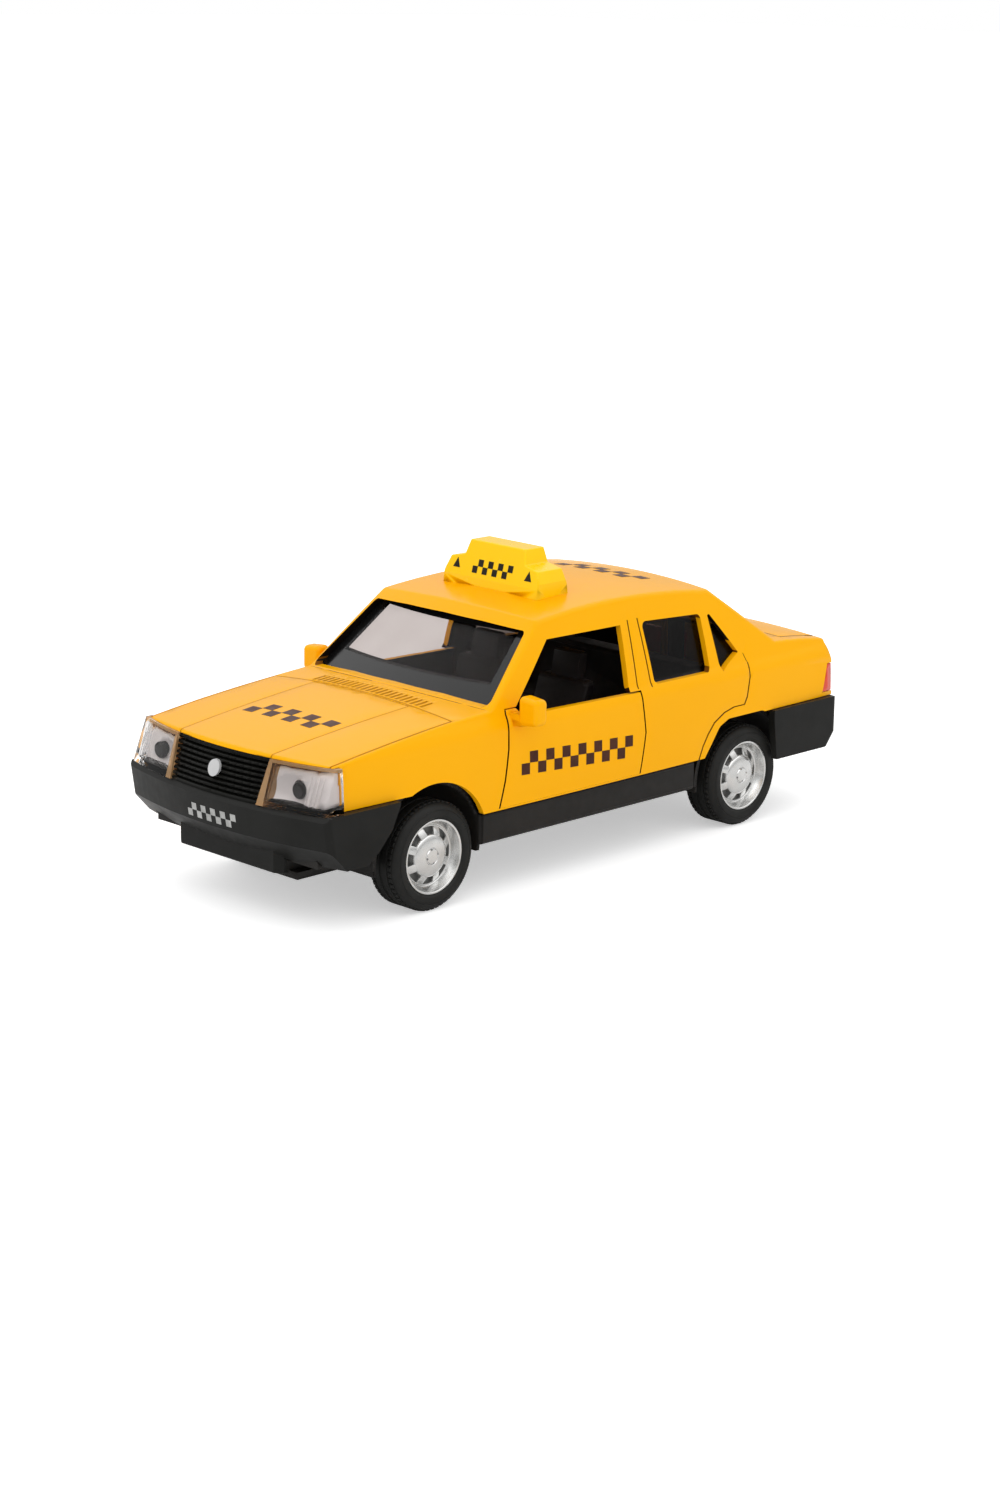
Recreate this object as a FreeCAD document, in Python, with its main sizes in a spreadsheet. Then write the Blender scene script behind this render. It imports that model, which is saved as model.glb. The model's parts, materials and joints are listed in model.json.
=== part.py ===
import FreeCAD, Part
import math
import os
import re
import Sketcher
from FreeCAD import Placement, Rotation, Vector

# A 1:32 die-cast toy taxi with two opening doors and a flywheel friction motor on the rear axle.
# Frame: +Z up, the car's nose towards -Y, its left side towards +X, tyres standing on z = 0.

doc = FreeCAD.newDocument("FrictionTaxi")
sheet = doc.addObject("Spreadsheet::Sheet", "Sizes")

sizes = {
    # running gear
    "overallLength": 132.5, "frontOverhang": 29.1, "wheelbase": 78.0,
    "tyreRadius": 9.3, "tyreWidth": 7.1, "tyreOuter": 22.9, "tyreShoulder": 1.1,
    "rimRadius": 6.35, "rimLip": 0.35, "rimDish": 1.1, "hubRadius": 2.1, "slotRadius": 4.75,
    "slotHole": 0.62,
    "axleRadius": 1.0, "axleHalf": 21.4, "runningGap": 0.05, "pinRadius": 0.7,
    # body
    "wall": 1.1, "glassGap": 0.1, "glassWall": 0.7, "grooveDepth": 0.3, "grooveWidth": 0.32,
    "bodyBottom": 15.0, "noseBottom": 21.0, "tailBottom": 21.0, "mouthTop": 28.25, "mouthBack": -58.5,
    "frontArchY": -38.15, "frontArchZ": 10.2, "frontArchRadius": 12.0, "rearArchTop": 21.3,
    "beltZ": 30.4,
    # section of the body side: half widths and heights, with the amount it narrows at nose and tail
    "sillHalf": 23.5, "sillZ": 8.0, "flankHalf": 24.3, "flankZ": 19.5, "shoulderHalf": 23.9,
    "shoulderZ": 27.6,
    "beltHalf": 22.85, "railHalf": 18.5, "railZ": 44.0, "capHalf": 17.3, "capZ": 49.0,
    "noseNarrow": 1.3, "tailNarrow": 0.9,
    # chassis
    "floorZ": 8.2, "floorThick": 1.2, "padDepth": 0.4, "floorHalf": 14.6, "sillOuter": 23.3,
    "sillBottom": 9.4,
    "sillFront": -26.6, "sillRear": 26.2, "wellInner": 15.4, "linerWall": 0.8, "linerOuter": 21.9,
    # bumpers
    "bumperHalf": 24.8, "bumperTop": 20.9, "bumperLow": 11.6, "bumperWall": 2.0, "valanceZ": 9.1,
    # doors
    "doorBottom": 15.3, "doorRear": 11.3, "hingeX": 21.5, "hingeY": -26.3, "knuckleRadius": 1.35,
    "knuckleLow": 20.9, "knuckleHigh": 24.1, "earThick": 1.2, "earGap": 0.1, "armThick": 1.0,
    "armInner": 17.3, "armRear": -19.4,
    # gear train
    "gearModule": 0.5, "wheelTeeth": 18, "pinionTeeth": 10, "gearWidth": 2.0, "trainTilt": 30.0,
    "flywheelRadius": 6.0, "flywheelWidth": 3.9, "shaftRadius": 0.75, "caseWall": 1.0, "caseHalf": 5.9,
    # fasteners
    "screwRadius": 0.85, "screwHole": 0.9, "headRadius": 1.6, "headHeight": 0.9, "screwLength": 5.5,
    "postRadius": 2.2, "signMiddle": 1.2,
}

# Stations along the body's middle line, nose to tail, as y and z, with how far each sweeps along Y and
# drops along Z by the time it reaches x = crownHalf.
crownHalf = 25.0
stations = {
    "noseFoot": (-66.0, 8.0, 4.1, 0.0),
    "noseFace": (-65.9, 21.0, 4.1, 0.0),
    "hoodLip": (-63.4, 28.9, 4.4, -0.6),
    "cowl": (-27.0, 32.8, 3.0, -1.2),
    "roofFront": (-11.5, 45.3, 2.2, -1.5),
    "roofRear": (34.3, 44.9, -1.2, -1.5),
    "deckFront": (51.3, 33.5, -2.2, -0.8),
    "deckRear": (63.9, 32.1, -1.4, -0.7),
    "tailFace": (65.4, 27.6, -1.4, 0.0),
    "tailFoot": (65.3, 8.0, -1.4, 0.0),
}
sags = {"hoodLip": 0.35, "roofFront": 1.35, "deckFront": 0.15}
for station, values in stations.items():
    for part, value in zip(("Y", "Z", "Sweep", "Drop"), values):
        sizes[station + part] = value
for station, value in sags.items():
    sizes[station + "Sag"] = value

for row, (alias, value) in enumerate(sizes.items(), start=1):
    sheet.set(f"A{row}", alias)
    sheet.set(f"B{row}", str(value))
    sheet.setAlias(f"B{row}", alias)
doc.recompute()


# Helpers: expressions, primitives and booleans.
def formula(text):
    """Turn plain words into references to the sheet's cells."""
    return re.sub(r"[A-Za-z]+", lambda word: "Sizes." + word.group(), str(text))


def size(text):
    """The number that a formula of cell names gives now."""
    value = sheet.evalExpression(formula(text))
    return float(getattr(value, "Value", value))


def bind(item, prop, text):
    item.setExpression(prop, formula(text))


def bindPlace(item, place):
    for axis, text in zip("xyz", place):
        bind(item, "Placement.Base." + axis, text)


frontAxle = "(frontOverhang - overallLength / 2)"
rearAxle = "(frontOverhang - overallLength / 2 + wheelbase)"
planes = {
    "XY": Rotation(),
    "YZ": Rotation(Vector(0, 1, 0), Vector(0, 0, 1), Vector(1, 0, 0)),
    "XZ": Rotation(Vector(1, 0, 0), Vector(0, 0, 1), Vector(0, -1, 0)),
}
alongX = Rotation(Vector(0, 0, 1), Vector(1, 0, 0))
alongY = Rotation(Vector(0, 0, 1), Vector(0, 1, 0))


def box(name, low, high):
    """A block between two corners, each three formulas."""
    item = doc.addObject("Part::Box", name)
    for prop, start, end in zip(("Length", "Width", "Height"), low, high):
        bind(item, prop, f"({end}) - ({start})")
    bindPlace(item, low)
    return item


def rod(name, radius, start, length, turn=alongX):
    """A cylinder that starts at a point and runs along X, Y or Z."""
    item = doc.addObject("Part::Cylinder", name)
    item.Placement = Placement(Vector(), turn)
    bind(item, "Radius", radius)
    bind(item, "Height", length)
    bindPlace(item, start)
    return item


def outline(name, plane, corners, offset="0"):
    """A closed polygon sketch whose corners are held by formulas."""
    item = doc.addObject("Sketcher::SketchObject", name)
    item.Placement = Placement(Vector(), planes[plane])
    normal = {"XY": "z", "YZ": "x", "XZ": "y"}[plane]
    bind(item, "Placement.Base." + normal, offset)
    spots = [Vector(size(u), size(v), 0) for u, v in corners]
    count = len(spots)
    for index in range(count):
        item.addGeometry(Part.LineSegment(spots[index], spots[(index + 1) % count]), False)
    for index in range(count):
        item.addConstraint(Sketcher.Constraint("Coincident", index, 2, (index + 1) % count, 1))
    for index, (u, v) in enumerate(corners):
        for kind, text, value in (("DistanceX", u, spots[index].x), ("DistanceY", v, spots[index].y)):
            number = item.addConstraint(Sketcher.Constraint(kind, -1, 1, index, 1, value))
            bind(item, f"Constraints[{number}]", text)
    return item


def prism(name, plane, corners, start, end):
    """A polygon carried along the plane's own axis from start to end."""
    item = doc.addObject("Part::Extrusion", name)
    item.Base = outline(name + "Outline", plane, corners, start)
    item.DirMode = "Custom"
    item.Dir = {"XY": Vector(0, 0, 1), "YZ": Vector(1, 0, 0), "XZ": Vector(0, 1, 0)}[plane]
    bind(item, "LengthFwd", f"({end}) - ({start})")
    item.Solid = True
    return item


def fuse(name, *items):
    item = doc.addObject("Part::MultiFuse", name)
    item.Shapes = list(items)
    return item


def common(name, *items):
    item = doc.addObject("Part::MultiCommon", name)
    item.Shapes = list(items)
    return item


def cut(name, base, *tools):
    item = doc.addObject("Part::Cut", name)
    item.Base = base
    item.Tool = tools[0] if len(tools) == 1 else fuse(name + "Tools", *tools)
    return item


def mirrored(name, source):
    item = doc.addObject("Part::Mirroring", name)
    item.Source = source
    item.Normal = Vector(1, 0, 0)
    return item


def rounded(name, base, radius, wanted, kind="Part::Fillet"):
    """Fillets or chamfers on the base's edges that a test picks out."""
    doc.recompute()
    item = doc.addObject(kind, name)
    item.Base = base
    reach = size(radius)
    item.Edges = [(number, reach, reach)
                  for number, edge in enumerate(base.Shape.Edges, start=1) if wanted(edge)]
    return item


def feature(name, shape):
    """A free shape that neither primitives nor sketches can give."""
    item = doc.addObject("Part::Feature", name)
    item.Shape = shape
    return item


nodes = {}


def node(name, item):
    item.Label = name
    nodes[name] = item
    return item


def bothSides(name, item):
    """The left piece, and its mirror image as the right one."""
    node(name + "_left", item)
    node(name + "_right", mirrored(name + "Right", item))


def straight(edge):
    return isinstance(edge.Curve, Part.Line)


def runsAlong(edge, axis):
    if not straight(edge):
        return False
    return abs(abs(edge.tangentAt(edge.FirstParameter).dot(axis)) - 1) < 1e-6


# The crowned outer skin of the body.
def lengthProfile(x, inset):
    """The body's closed outline in a plane across X, drawn in by an inset."""
    share = abs(x) / crownHalf
    spots = []
    for station in stations:
        y = size(station + "Y") + size(station + "Sweep") * share
        z = size(station + "Z") + size(station + "Drop") * share
        onNose = station in ("noseFoot", "noseFace", "hoodLip")
        onTail = station in ("tailFoot", "tailFace", "deckRear")
        y += inset if onNose else -inset if onTail else 0
        if station not in ("noseFoot", "noseFace", "tailFoot", "tailFace"):
            z -= inset
        if station in ("cowl", "roofFront"):
            y += inset * 0.4
        if station in ("roofRear", "deckFront"):
            y -= inset * 0.4
        spots.append(Vector(x, y, z))
    edges = []
    for index, station in enumerate(stations):
        start, end = spots[index], spots[(index + 1) % len(spots)]
        if station in sags:
            middle = (start + end) * 0.5 + Vector(0, 0, size(station + "Sag"))
            edges.append(Part.Arc(start, middle, end).toShape())
        else:
            edges.append(Part.LineSegment(start, end).toShape())
    return Part.Wire(edges)


def crossSection(y, narrow, inset):
    """The body's closed outline in a plane across Y."""
    names = ("sill", "flank", "shoulder", "belt", "rail", "cap")
    right = []
    for name in names:
        height = size(name + "Z")
        if name == "belt":
            height += 0.4
        right.append(Vector(size(name + "Half") - narrow - inset, y, height))
    sill, flank, shoulder, belt, rail, cap = right
    beltMiddle = (shoulder + belt) * 0.5 + Vector(0.22, 0, 0.1)
    sideEdges = [(sill, flank, shoulder), (shoulder, beltMiddle, belt), (belt, (belt + cap) * 0.5
                 + Vector(0.3, 0, 0), cap)]

    def flip(spot):
        return Vector(-spot.x, spot.y, spot.z)

    edges = [Part.LineSegment(flip(sill), sill).toShape()]
    edges += [Part.Arc(*spots).toShape() for spots in sideEdges]
    edges.append(Part.LineSegment(cap, flip(cap)).toShape())
    edges += [Part.Arc(*[flip(spot) for spot in reversed(spots)]).toShape()
              for spots in reversed(sideEdges)]
    return Part.Wire(edges)


def envelope(name, inset, rounds=None, sideInset=None):
    """The body as one crowned solid: its long outline and its cross section in common."""
    if sideInset is None:
        sideInset = inset
    alongCar = Part.makeLoft([lengthProfile(x, inset) for x in (-crownHalf, 0, crownHalf)], True, False)
    places = ((-66.0, size("noseNarrow")), (-8.0, 0.0), (70.0, size("tailNarrow")))
    acrossCar = Part.makeLoft([crossSection(y, narrow, sideInset) for y, narrow in places], True, False)
    shape = alongCar.common(acrossCar)
    if shape.ShapeType != "Solid":
        shape = shape.Solids[0]
    if rounds:
        for radius, wanted in rounds:
            picked = [edge for edge in shape.Edges if wanted(edge)]
            shape = shape.makeFillet(radius, picked)
    return feature(name, shape)


def edgeNear(lowY, highY, lowZ, highZ, across=None):
    """A test for edges that lie inside a window of y and z."""
    def wanted(edge):
        bounds = edge.BoundBox
        inside = bounds.YMin > lowY and bounds.YMax < highY and bounds.ZMin > lowZ and bounds.ZMax < highZ
        wide = bounds.XLength > 30
        return inside and edge.Length > 2 and (across is None or wide == across)
    return wanted


# Wheels.
def revolved(name, y, z, profile):
    """A ring or disc turned about a line along X; the profile lists x and radius formulas."""
    item = doc.addObject("Part::Revolution", name)
    item.Source = outline(name + "Outline", "XZ", [(x, f"({z}) + ({r})") for x, r in profile], y)
    item.Axis = Vector(1, 0, 0)
    bind(item, "Base.y", y)
    bind(item, "Base.z", z)
    item.Angle = 360
    item.Solid = True
    return item


def makeWheels(end, y):
    """One axle with its rims and tyres."""
    z = "tyreRadius"
    face = "tyreOuter"
    back = "(tyreOuter - tyreWidth)"
    axle = rod(end + "Axle", "axleRadius", ("-axleHalf", y, z), "axleHalf * 2")
    node(end + "_axle", axle)

    tyre = revolved(end + "Tyre", y, z, [
        (back, "rimRadius"), (face, "rimRadius"), (f"{face}", "tyreRadius - tyreShoulder * 1.6"),
        (f"{face} - tyreShoulder * 0.45", "tyreRadius - tyreShoulder * 0.5"),
        (f"{face} - tyreShoulder", "tyreRadius"), (f"{back} + tyreShoulder", "tyreRadius"),
        (f"{back} + tyreShoulder * 0.45", "tyreRadius - tyreShoulder * 0.5"),
        (back, "tyreRadius - tyreShoulder * 1.6")])
    groove = revolved(end + "TreadGroove", y, z, [
        (f"{face} - tyreWidth / 2 - 0.25", "tyreRadius - 0.35"),
        (f"{face} - tyreWidth / 2 + 0.25", "tyreRadius - 0.35"),
        (f"{face} - tyreWidth / 2 + 0.25", "tyreRadius + 1"),
        (f"{face} - tyreWidth / 2 - 0.25", "tyreRadius + 1")])
    bothSides("tyre_" + end, cut(end + "TyreCut", tyre, groove))

    lip = f"({face} - rimLip)"
    dish = f"({face} - rimLip - rimDish)"
    rim = revolved(end + "Rim", y, z, [
        (f"{back} + 0.6", "rimRadius"), (f"{back} + 0.6", "rimRadius - 0.7"),
        (f"{dish} - 1.2", "rimRadius - 0.9"),
        (f"{dish} - 1.2", "hubRadius + 0.5"), (f"{back} + 1.2", "hubRadius"),
        (f"{back} + 1.2", "axleRadius"),
        ("axleHalf", "axleRadius"), ("axleHalf", "0.01"), (f"{lip} - 0.05", "0.01"),
        (f"{lip} - 0.15", "hubRadius - 0.5"),
        (f"{lip} - 0.5", "hubRadius"), (f"{dish}", "hubRadius + 0.25"),
        (f"{dish} + 0.35", "slotRadius - 0.9"),
        (f"{dish} + 0.5", "slotRadius + 0.75"), (f"{lip} - 0.5", "rimRadius - 0.75"),
        (f"{lip}", "rimRadius - 0.6"),
        (f"{lip}", "rimRadius")])
    slots = []
    for number in range(8):
        angle = math.radians(45 * number + 22.5)
        slots.append(rod(f"{end}Slot{number}", "slotHole",
                         (f"{dish} - 2", f"{y} + slotRadius * {math.cos(angle):.6f}",
                          f"{z} + slotRadius * {math.sin(angle):.6f}"), "4"))
    bothSides("rim_" + end, cut(end + "RimCut", rim, *slots))


makeWheels("front", frontAxle)
makeWheels("rear", rearAxle)


# Body shell.
roofEdges = edgeNear(-16, 38, 42.5, 48)
frontPillars = edgeNear(-32, -8, 30.5, 46.5, False)
rearPillars = edgeNear(30, 55, 32, 46.5, False)


def greenhouseEdges(edge):
    return roofEdges(edge) or frontPillars(edge) or rearPillars(edge)


def hoodEdges(edge):
    bounds = edge.BoundBox
    return bounds.YMax < -23.5 and bounds.ZMin > 27.7 and edge.Length > 2


def deckEdges(edge):
    bounds = edge.BoundBox
    return bounds.YMin > 48 and bounds.ZMin > 27.7 and edge.Length > 2


outer = envelope("outer", 0, [(1.2, greenhouseEdges), (0.55, hoodEdges), (0.6, deckEdges)])
inner = envelope("inner", size("wall"))
underSkin = envelope("underSkin", size("grooveDepth"))
glassOuter = envelope("glassOuter", size("wall + glassGap"))
glassInner = envelope("glassInner", size("wall + glassGap + glassWall"))
skin = cut("skin", outer, inner)

far = "30"

# Windows, seen from the side; the front one opens into the door's own opening.
frontWindow = [("-18.6", "beltZ - 0.2"), ("-18.6", "31.7"), ("-8.9", "41.3"), ("9.3", "41.2"),
               ("8.7", "beltZ - 0.5")]
rearWindow = [("15.4", "beltZ - 0.05"), ("14.6", "41.1"), ("29.9", "40.4"), ("30.2", "beltZ - 0.1")]
quarterWindow = [("32.8", "31.4"), ("31.8", "40.0"), ("32.4", "40.0"), ("38.4", "32.6"), ("33.4", "29.9")]
doorFront = [("-23.75", "doorBottom"), ("-22.6", "20"), ("-21.75", "25.1"), ("-21.35", "31.7")]
doorTop = [("-18.6", "31.7"), ("-17.2", "beltZ"), ("doorRear + 0.1", "beltZ - 0.45")]
doorBack = [("doorRear + 0.9", "22.5"), ("doorRear - 0.3", "doorBottom")]
doorLine = doorFront + doorTop + doorBack


def throughSides(name, corners, radius="1.0"):
    """A hole through both flanks, its corners rounded."""
    hole = prism(name, "YZ", corners, f"-{far}", far)
    return rounded(name + "Round", hole, radius, lambda edge: runsAlong(edge, Vector(1, 0, 0)))


def wheelArch(name, corners, radius):
    """The rear wheel opening: a flat-topped arch through both flanks."""
    hole = prism(name, "YZ", corners, f"-{far}", far)
    return rounded(name + "Round", hole, radius,
                   lambda edge: runsAlong(edge, Vector(1, 0, 0)) and edge.BoundBox.ZMin > 12)


def bandTool(name, plane, corners, start, end, width="grooveWidth"):
    """A thin wall along a closed outline, for cutting an engraved line."""
    ring = doc.addObject("Part::Offset2D", name + "Ring")
    ring.Source = outline(name + "Outline", plane, corners, start)
    bind(ring, "Value", width)
    ring.Mode = "Pipe"
    ring.Fill = True
    item = doc.addObject("Part::Extrusion", name)
    item.Base = ring
    item.DirMode = "Custom"
    item.Dir = {"XY": Vector(0, 0, 1), "YZ": Vector(1, 0, 0), "XZ": Vector(0, 1, 0)}[plane]
    bind(item, "LengthFwd", f"({end}) - ({start})")
    item.Solid = True
    return item


def ribbon(name, path, shift, start, end):
    """A thin wall along an open path seen from the side; the shift gives its thickness."""
    back = [(f"{y} + {shift[0]}", f"{z} + {shift[1]}") for y, z in reversed(path)]
    return prism(name, "YZ", path + back, start, end)


grooveSkin = cut("grooveSkin", outer, underSkin)
hoodLine = bandTool("hoodLine", "XY", [("-22.1", "-64"), ("-21.6", "-33"), ("-10", "-32.6"),
                                       ("10", "-32.6"),
                                      ("21.6", "-33"), ("22.1", "-64"), ("10", "-90"), ("-10", "-90")],
                                      "27", "36")
hoodCrease = bandTool("hoodCrease", "XY", [("-10.9", "-80"), ("-11.6", "-33.1"), ("11.6", "-33.1"),
                                           ("10.9", "-80")],
                      "27", "36", "0.2")
deckLine = bandTool("deckLine", "XY", [("-19.8", "90"), ("-19.4", "53.3"), ("19.4", "53.3"),
                                       ("19.8", "90")],
                    "30", "36")
bootLine = bandTool("bootLine", "XZ", [("-19.8", "60"), ("-19.8", "22.6"), ("19.8", "22.6"),
                                       ("19.8", "60")],
                    "60", "70")
rearDoorPath = [
    ("39.5", "32.3"), ("40.3", "30.6"), ("40.2", "28.0"), ("39.3", "24.6"), ("38.5", "23.3"),
    ("35.6", "23.3"),
    ("32.9", "22.7"), ("30.2", "21.3"), ("28.5", "19.4"), ("27.3", "17.5"), ("26.3", "doorBottom - 0.4")]
rearDoorLine = ribbon("rearDoorLine", rearDoorPath, ("0.28", "-0.2"), f"-{far}", far)
fuelFlap = bandTool("fuelFlap", "YZ", [("47.5", "25.2"), ("47.5", "28.6"), ("51.0", "28.6"),
                                       ("51.0", "25.2")],
                    f"-{far}", "0")
pillarFront = ribbon("pillarFront", [("10.8", "beltZ - 0.2"), ("11.1", "41.8")], ("0.28", "0"),
                     f"-{far}", far)
pillarRear = ribbon("pillarRear", [("14.3", "beltZ - 0.4"), ("13.6", "41.8")], ("0.28", "0"), f"-{far}",
                    far)
grooves = common("grooves", grooveSkin, fuse("grooveLines", hoodLine, hoodCrease, deckLine, bootLine,
                                             rearDoorLine,
                                             fuelFlap, pillarFront, pillarRear))

ventSlots = [box(f"vent{number}", (f"-13.4 + {number} * 1.2", "-31.9", "31"),
                 (f"-12.8 + {number} * 1.2", "-28.8", "36"))
             for number in range(23)]
vents = common("vents", cut("ventSkin", outer, underSkin), fuse("ventSlots", *ventSlots))

tailLampSide = [("61.4", "21.7"), ("62.9", "27.0"), ("70", "27.0"), ("70", "21.7")]
tailLampCut = prism("tailLampCut", "YZ", tailLampSide, "12.4", far)
tailRecess = fuse("tailRecess", tailLampCut, mirrored("tailLampCutRight", tailLampCut))

windscreenEdge = [("21.7", "32.1"), ("18.2", "42.9"), ("9", "43.35")]
windscreenCorners = [("-" + x, z) for x, z in windscreenEdge] + [("0", "43.5")] + windscreenEdge[::-1]
windscreenCorners += [("11", "32.8"), ("0", "33.0"), ("-11", "32.8")]
doorHole = prism("doorHole", "YZ", doorLine, f"-{far}", far)
shellCuts = [
    box("mouth", (f"-{far}", "-80", "5"), (far, "mouthBack", "mouthTop")),
    box("underNose", (f"-{far}", "-80", "5"), (far, "frontArchY", "noseBottom")),
    box("underFloor", (f"-{far}", "-80", "5"), (far, "80", "bodyBottom")),
    box("underTail", (f"-{far}", f"{rearAxle}", "5"), (far, "80", "tailBottom")),
    rod("frontArch", "frontArchRadius", (f"-{far}", "frontArchY", "frontArchZ"), "60"),
    wheelArch("rearArch", [("26.3", "0"), ("27.3", "13.9"), ("31.8", "20.2"), ("34.3", "rearArchTop"),
                           ("43.9", "rearArchTop"), ("47.4", "19.4"), ("54", "0")], "2.0"),
    rounded("windscreenHole", prism("windscreenCut", "XZ", windscreenCorners, "-50", "-5"), "0.9",
            lambda edge: runsAlong(edge, Vector(0, 1, 0)) and abs(edge.BoundBox.XMax) > 15),
    rounded("backlightHole", prism("backlightCut", "XZ",
                                   [("-19.8", "34.6"), ("-17.2", "42.4"), ("17.2", "42.4"),
                                                          ("19.8", "34.6")], "25", "70"),
            "1.4", lambda edge: runsAlong(edge, Vector(0, 1, 0))),
    prism("frontWindow", "YZ", frontWindow, f"-{far}", far),
    throughSides("rearWindow", rearWindow), throughSides("quarterWindow", quarterWindow, "0.25"),
    doorHole, tailRecess, grooves, vents,
    rod("signPegHoleLeft", "1.3", ("6", "signMiddle", "40"), "10", Rotation()),
    rod("signPegHoleRight", "1.3", ("-6", "signMiddle", "40"), "10", Rotation()),
]
shellSkin = cut("shellSkin", skin, *shellCuts)

# Three posts hang from the shell inside; the screws from below are driven into them.
postSpots = [("0", "-47"), ("9", "56"), ("-9", "56")]
floorTop = "floorZ + floorThick"
posts = []
postHoles = []
for number, (x, y) in enumerate(postSpots):
    post = rod(f"post{number}", "postRadius", (x, y, floorTop), "40", Rotation())
    posts.append(common(f"postTrim{number}", post, envelope(f"postLimit{number}", size("wall * 0.5"))))
    postHoles.append(rod(f"postHole{number}", "screwHole", (x, y, "floorZ"), "screwLength + 2", Rotation()))
bodyShell = cut("bodyShell", fuse("shellWithPosts", shellSkin, *posts), *postHoles)
node("body_shell", bodyShell)

# Doors: skin panel, gooseneck arm and knuckle.
doorTrim = prism("doorTrim", "YZ", [
    ("-23.4", "doorBottom + 0.02"), ("-22.25", "20"), ("-21.4", "25.1"), ("-21.05", "31.45"),
    ("-18.75", "31.45"),
    ("-17.3", "beltZ - 0.3"), ("doorRear - 0.2", "beltZ - 0.75"), ("doorRear + 0.58", "22.5"),
    ("doorRear - 0.6", "doorBottom + 0.02")], "10", far)
doorSkin = common("doorSkin", skin, doorTrim)
# The wing's rear edge sweeps round the hinge as the door turns, so the door's front face is
# hollowed to clear it.
wingReach = [("15.2", "3.8"), ("20", "4.78"), ("25", "5.4"), ("28", "5.4"), ("31.8", "5.25")]
wingSweep = doc.addObject("Part::Revolution", "wingSweep")
wingSweep.Source = outline("wingSweepOutline", "XZ", [("hingeX", "15.2")] + [(f"hingeX + {reach}", z)
                                                                             for z, reach in wingReach]
                           + [("hingeX", "31.8")], "hingeY")
wingSweep.Axis = Vector(0, 0, 1)
bind(wingSweep, "Base.x", "hingeX")
bind(wingSweep, "Base.y", "hingeY")
wingSweep.Angle = 360
wingSweep.Solid = True
armLow = "knuckleLow"
armHigh = "knuckleHigh"
knuckle = rod("knuckle", "knuckleRadius", ("hingeX", "hingeY", armLow), "knuckleHigh - knuckleLow",
              Rotation())
armParts = [
    knuckle,
    box("armInward", ("armInner", "hingeY - armThick / 2", armLow),
        ("hingeX", "hingeY + armThick / 2", armHigh)),
    box("armBack", ("armInner", "hingeY - armThick / 2", armLow),
        ("armInner + armThick", "armRear", armHigh)),
    box("armOut", ("armInner", "armRear - armThick * 1.1", armLow), ("hingeX + 2.2", "armRear", armHigh)),
]
doorRib = box("doorRib", ("hingeX + 0.6", "armRear - 1.1", "18.5"), ("hingeX + 2.3", "armRear + 6", "26.5"))
doorSolid = fuse("doorSolid", cut("doorPanelTrim", doorSkin, wingSweep), *armParts, doorRib)
pinHole = rod("pinHole", "pinRadius + runningGap", ("hingeX", "hingeY", "10"), "30", Rotation())
bothSides("door_panel", cut("doorPanel", common("doorLimit", doorSolid, outer), pinHole))
hingePin = rod("hingePin", "pinRadius", ("hingeX", "hingeY", "knuckleLow - earGap - earThick"),
               "knuckleHigh - knuckleLow + 2 * (earGap + earThick)", Rotation())
bothSides("door_hinge_pin", hingePin)

mirrorHead = rounded("mirrorHead", prism("mirrorBlock", "XZ", [
    ("24.6", "28.9"), ("28.9", "29.5"), ("28.9", "33.8"), ("24.6", "34.2")], "-20.4", "-17.4"), "0.9",
    lambda edge: edge.Length > 1)
mirrorFoot = prism("mirrorFoot", "XY", [("22.9", "-20.4"), ("25.2", "-19.9"), ("25.2", "-18.3"),
                                        ("22.9", "-17.8")],
                   "28.9", "30.9")
bothSides("mirror", cut("mirrorTrim", fuse("mirrorSolid", mirrorHead, mirrorFoot), outer))

# Chassis.
floorParts = [
    box("floorPlate", ("-floorHalf", "-60", "floorZ"), ("floorHalf", "52.6", floorTop)),
    box("tailPlate", ("-11.8", "52", "floorZ"), ("11.8", "58.5", floorTop)),
    box("middlePlate", ("-21.5", "sillFront", "sillBottom"), ("21.5", "sillRear", "sillBottom + 1.2")),
    box("noseFill", ("-20", "-60.5", "11.2"), ("20", "-53", "12.5")),
    box("noseCore", ("-12.6", "-60.5", "floorZ + floorThick - 0.4"), ("12.6", "-53", "12.5")),
    box("axleTunnel", ("-floorHalf", f"{rearAxle} - 2.8", "floorZ"),
        ("floorHalf", f"{rearAxle} + 2.8", "12.4")),
    box("tailFill", ("-20", "52.6", "11.0"), ("20", "60", "12.5")),
    box("tailCore", ("-11.8", "52.6", "floorZ + floorThick - 0.4"), ("11.8", "60", "12.5")),
    box("makerPad", ("-9", "-22", "floorZ - padDepth"), ("9", "22", "floorZ")),
]
floorParts += [
    box(f"noseRib{side}x{number}", (f"{side} * (15.2 + {number} * 1.9) - 0.45", "-59.2", "10.7"),
        (f"{side} * (15.2 + {number} * 1.9) + 0.45", "-54", "11.4"))
    for side in (-1, 1) for number in range(3)]
sill = rounded("sill", box("sillBlock", ("19.6", "sillFront", "sillBottom"),
                           ("sillOuter", "sillRear", "bodyBottom - 0.15")),
               "0.7", lambda edge: runsAlong(edge, Vector(0, 1, 0)) and edge.BoundBox.XMax > 22)


def liner(name, y, z, radius):
    """A half-round wheel housing, closed towards the car's middle."""
    shell = rod(name + "Drum", f"{radius}", ("wellInner - linerWall", y, z),
                "linerOuter - wellInner + linerWall")
    hollow = rod(name + "Hollow", f"({radius}) - linerWall", ("wellInner", y, z), "20")
    lower = box(name + "Lower", ("0", "-80", "-20"), (far, "80", "floorZ"))
    return cut(name, shell, hollow, lower)


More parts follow.
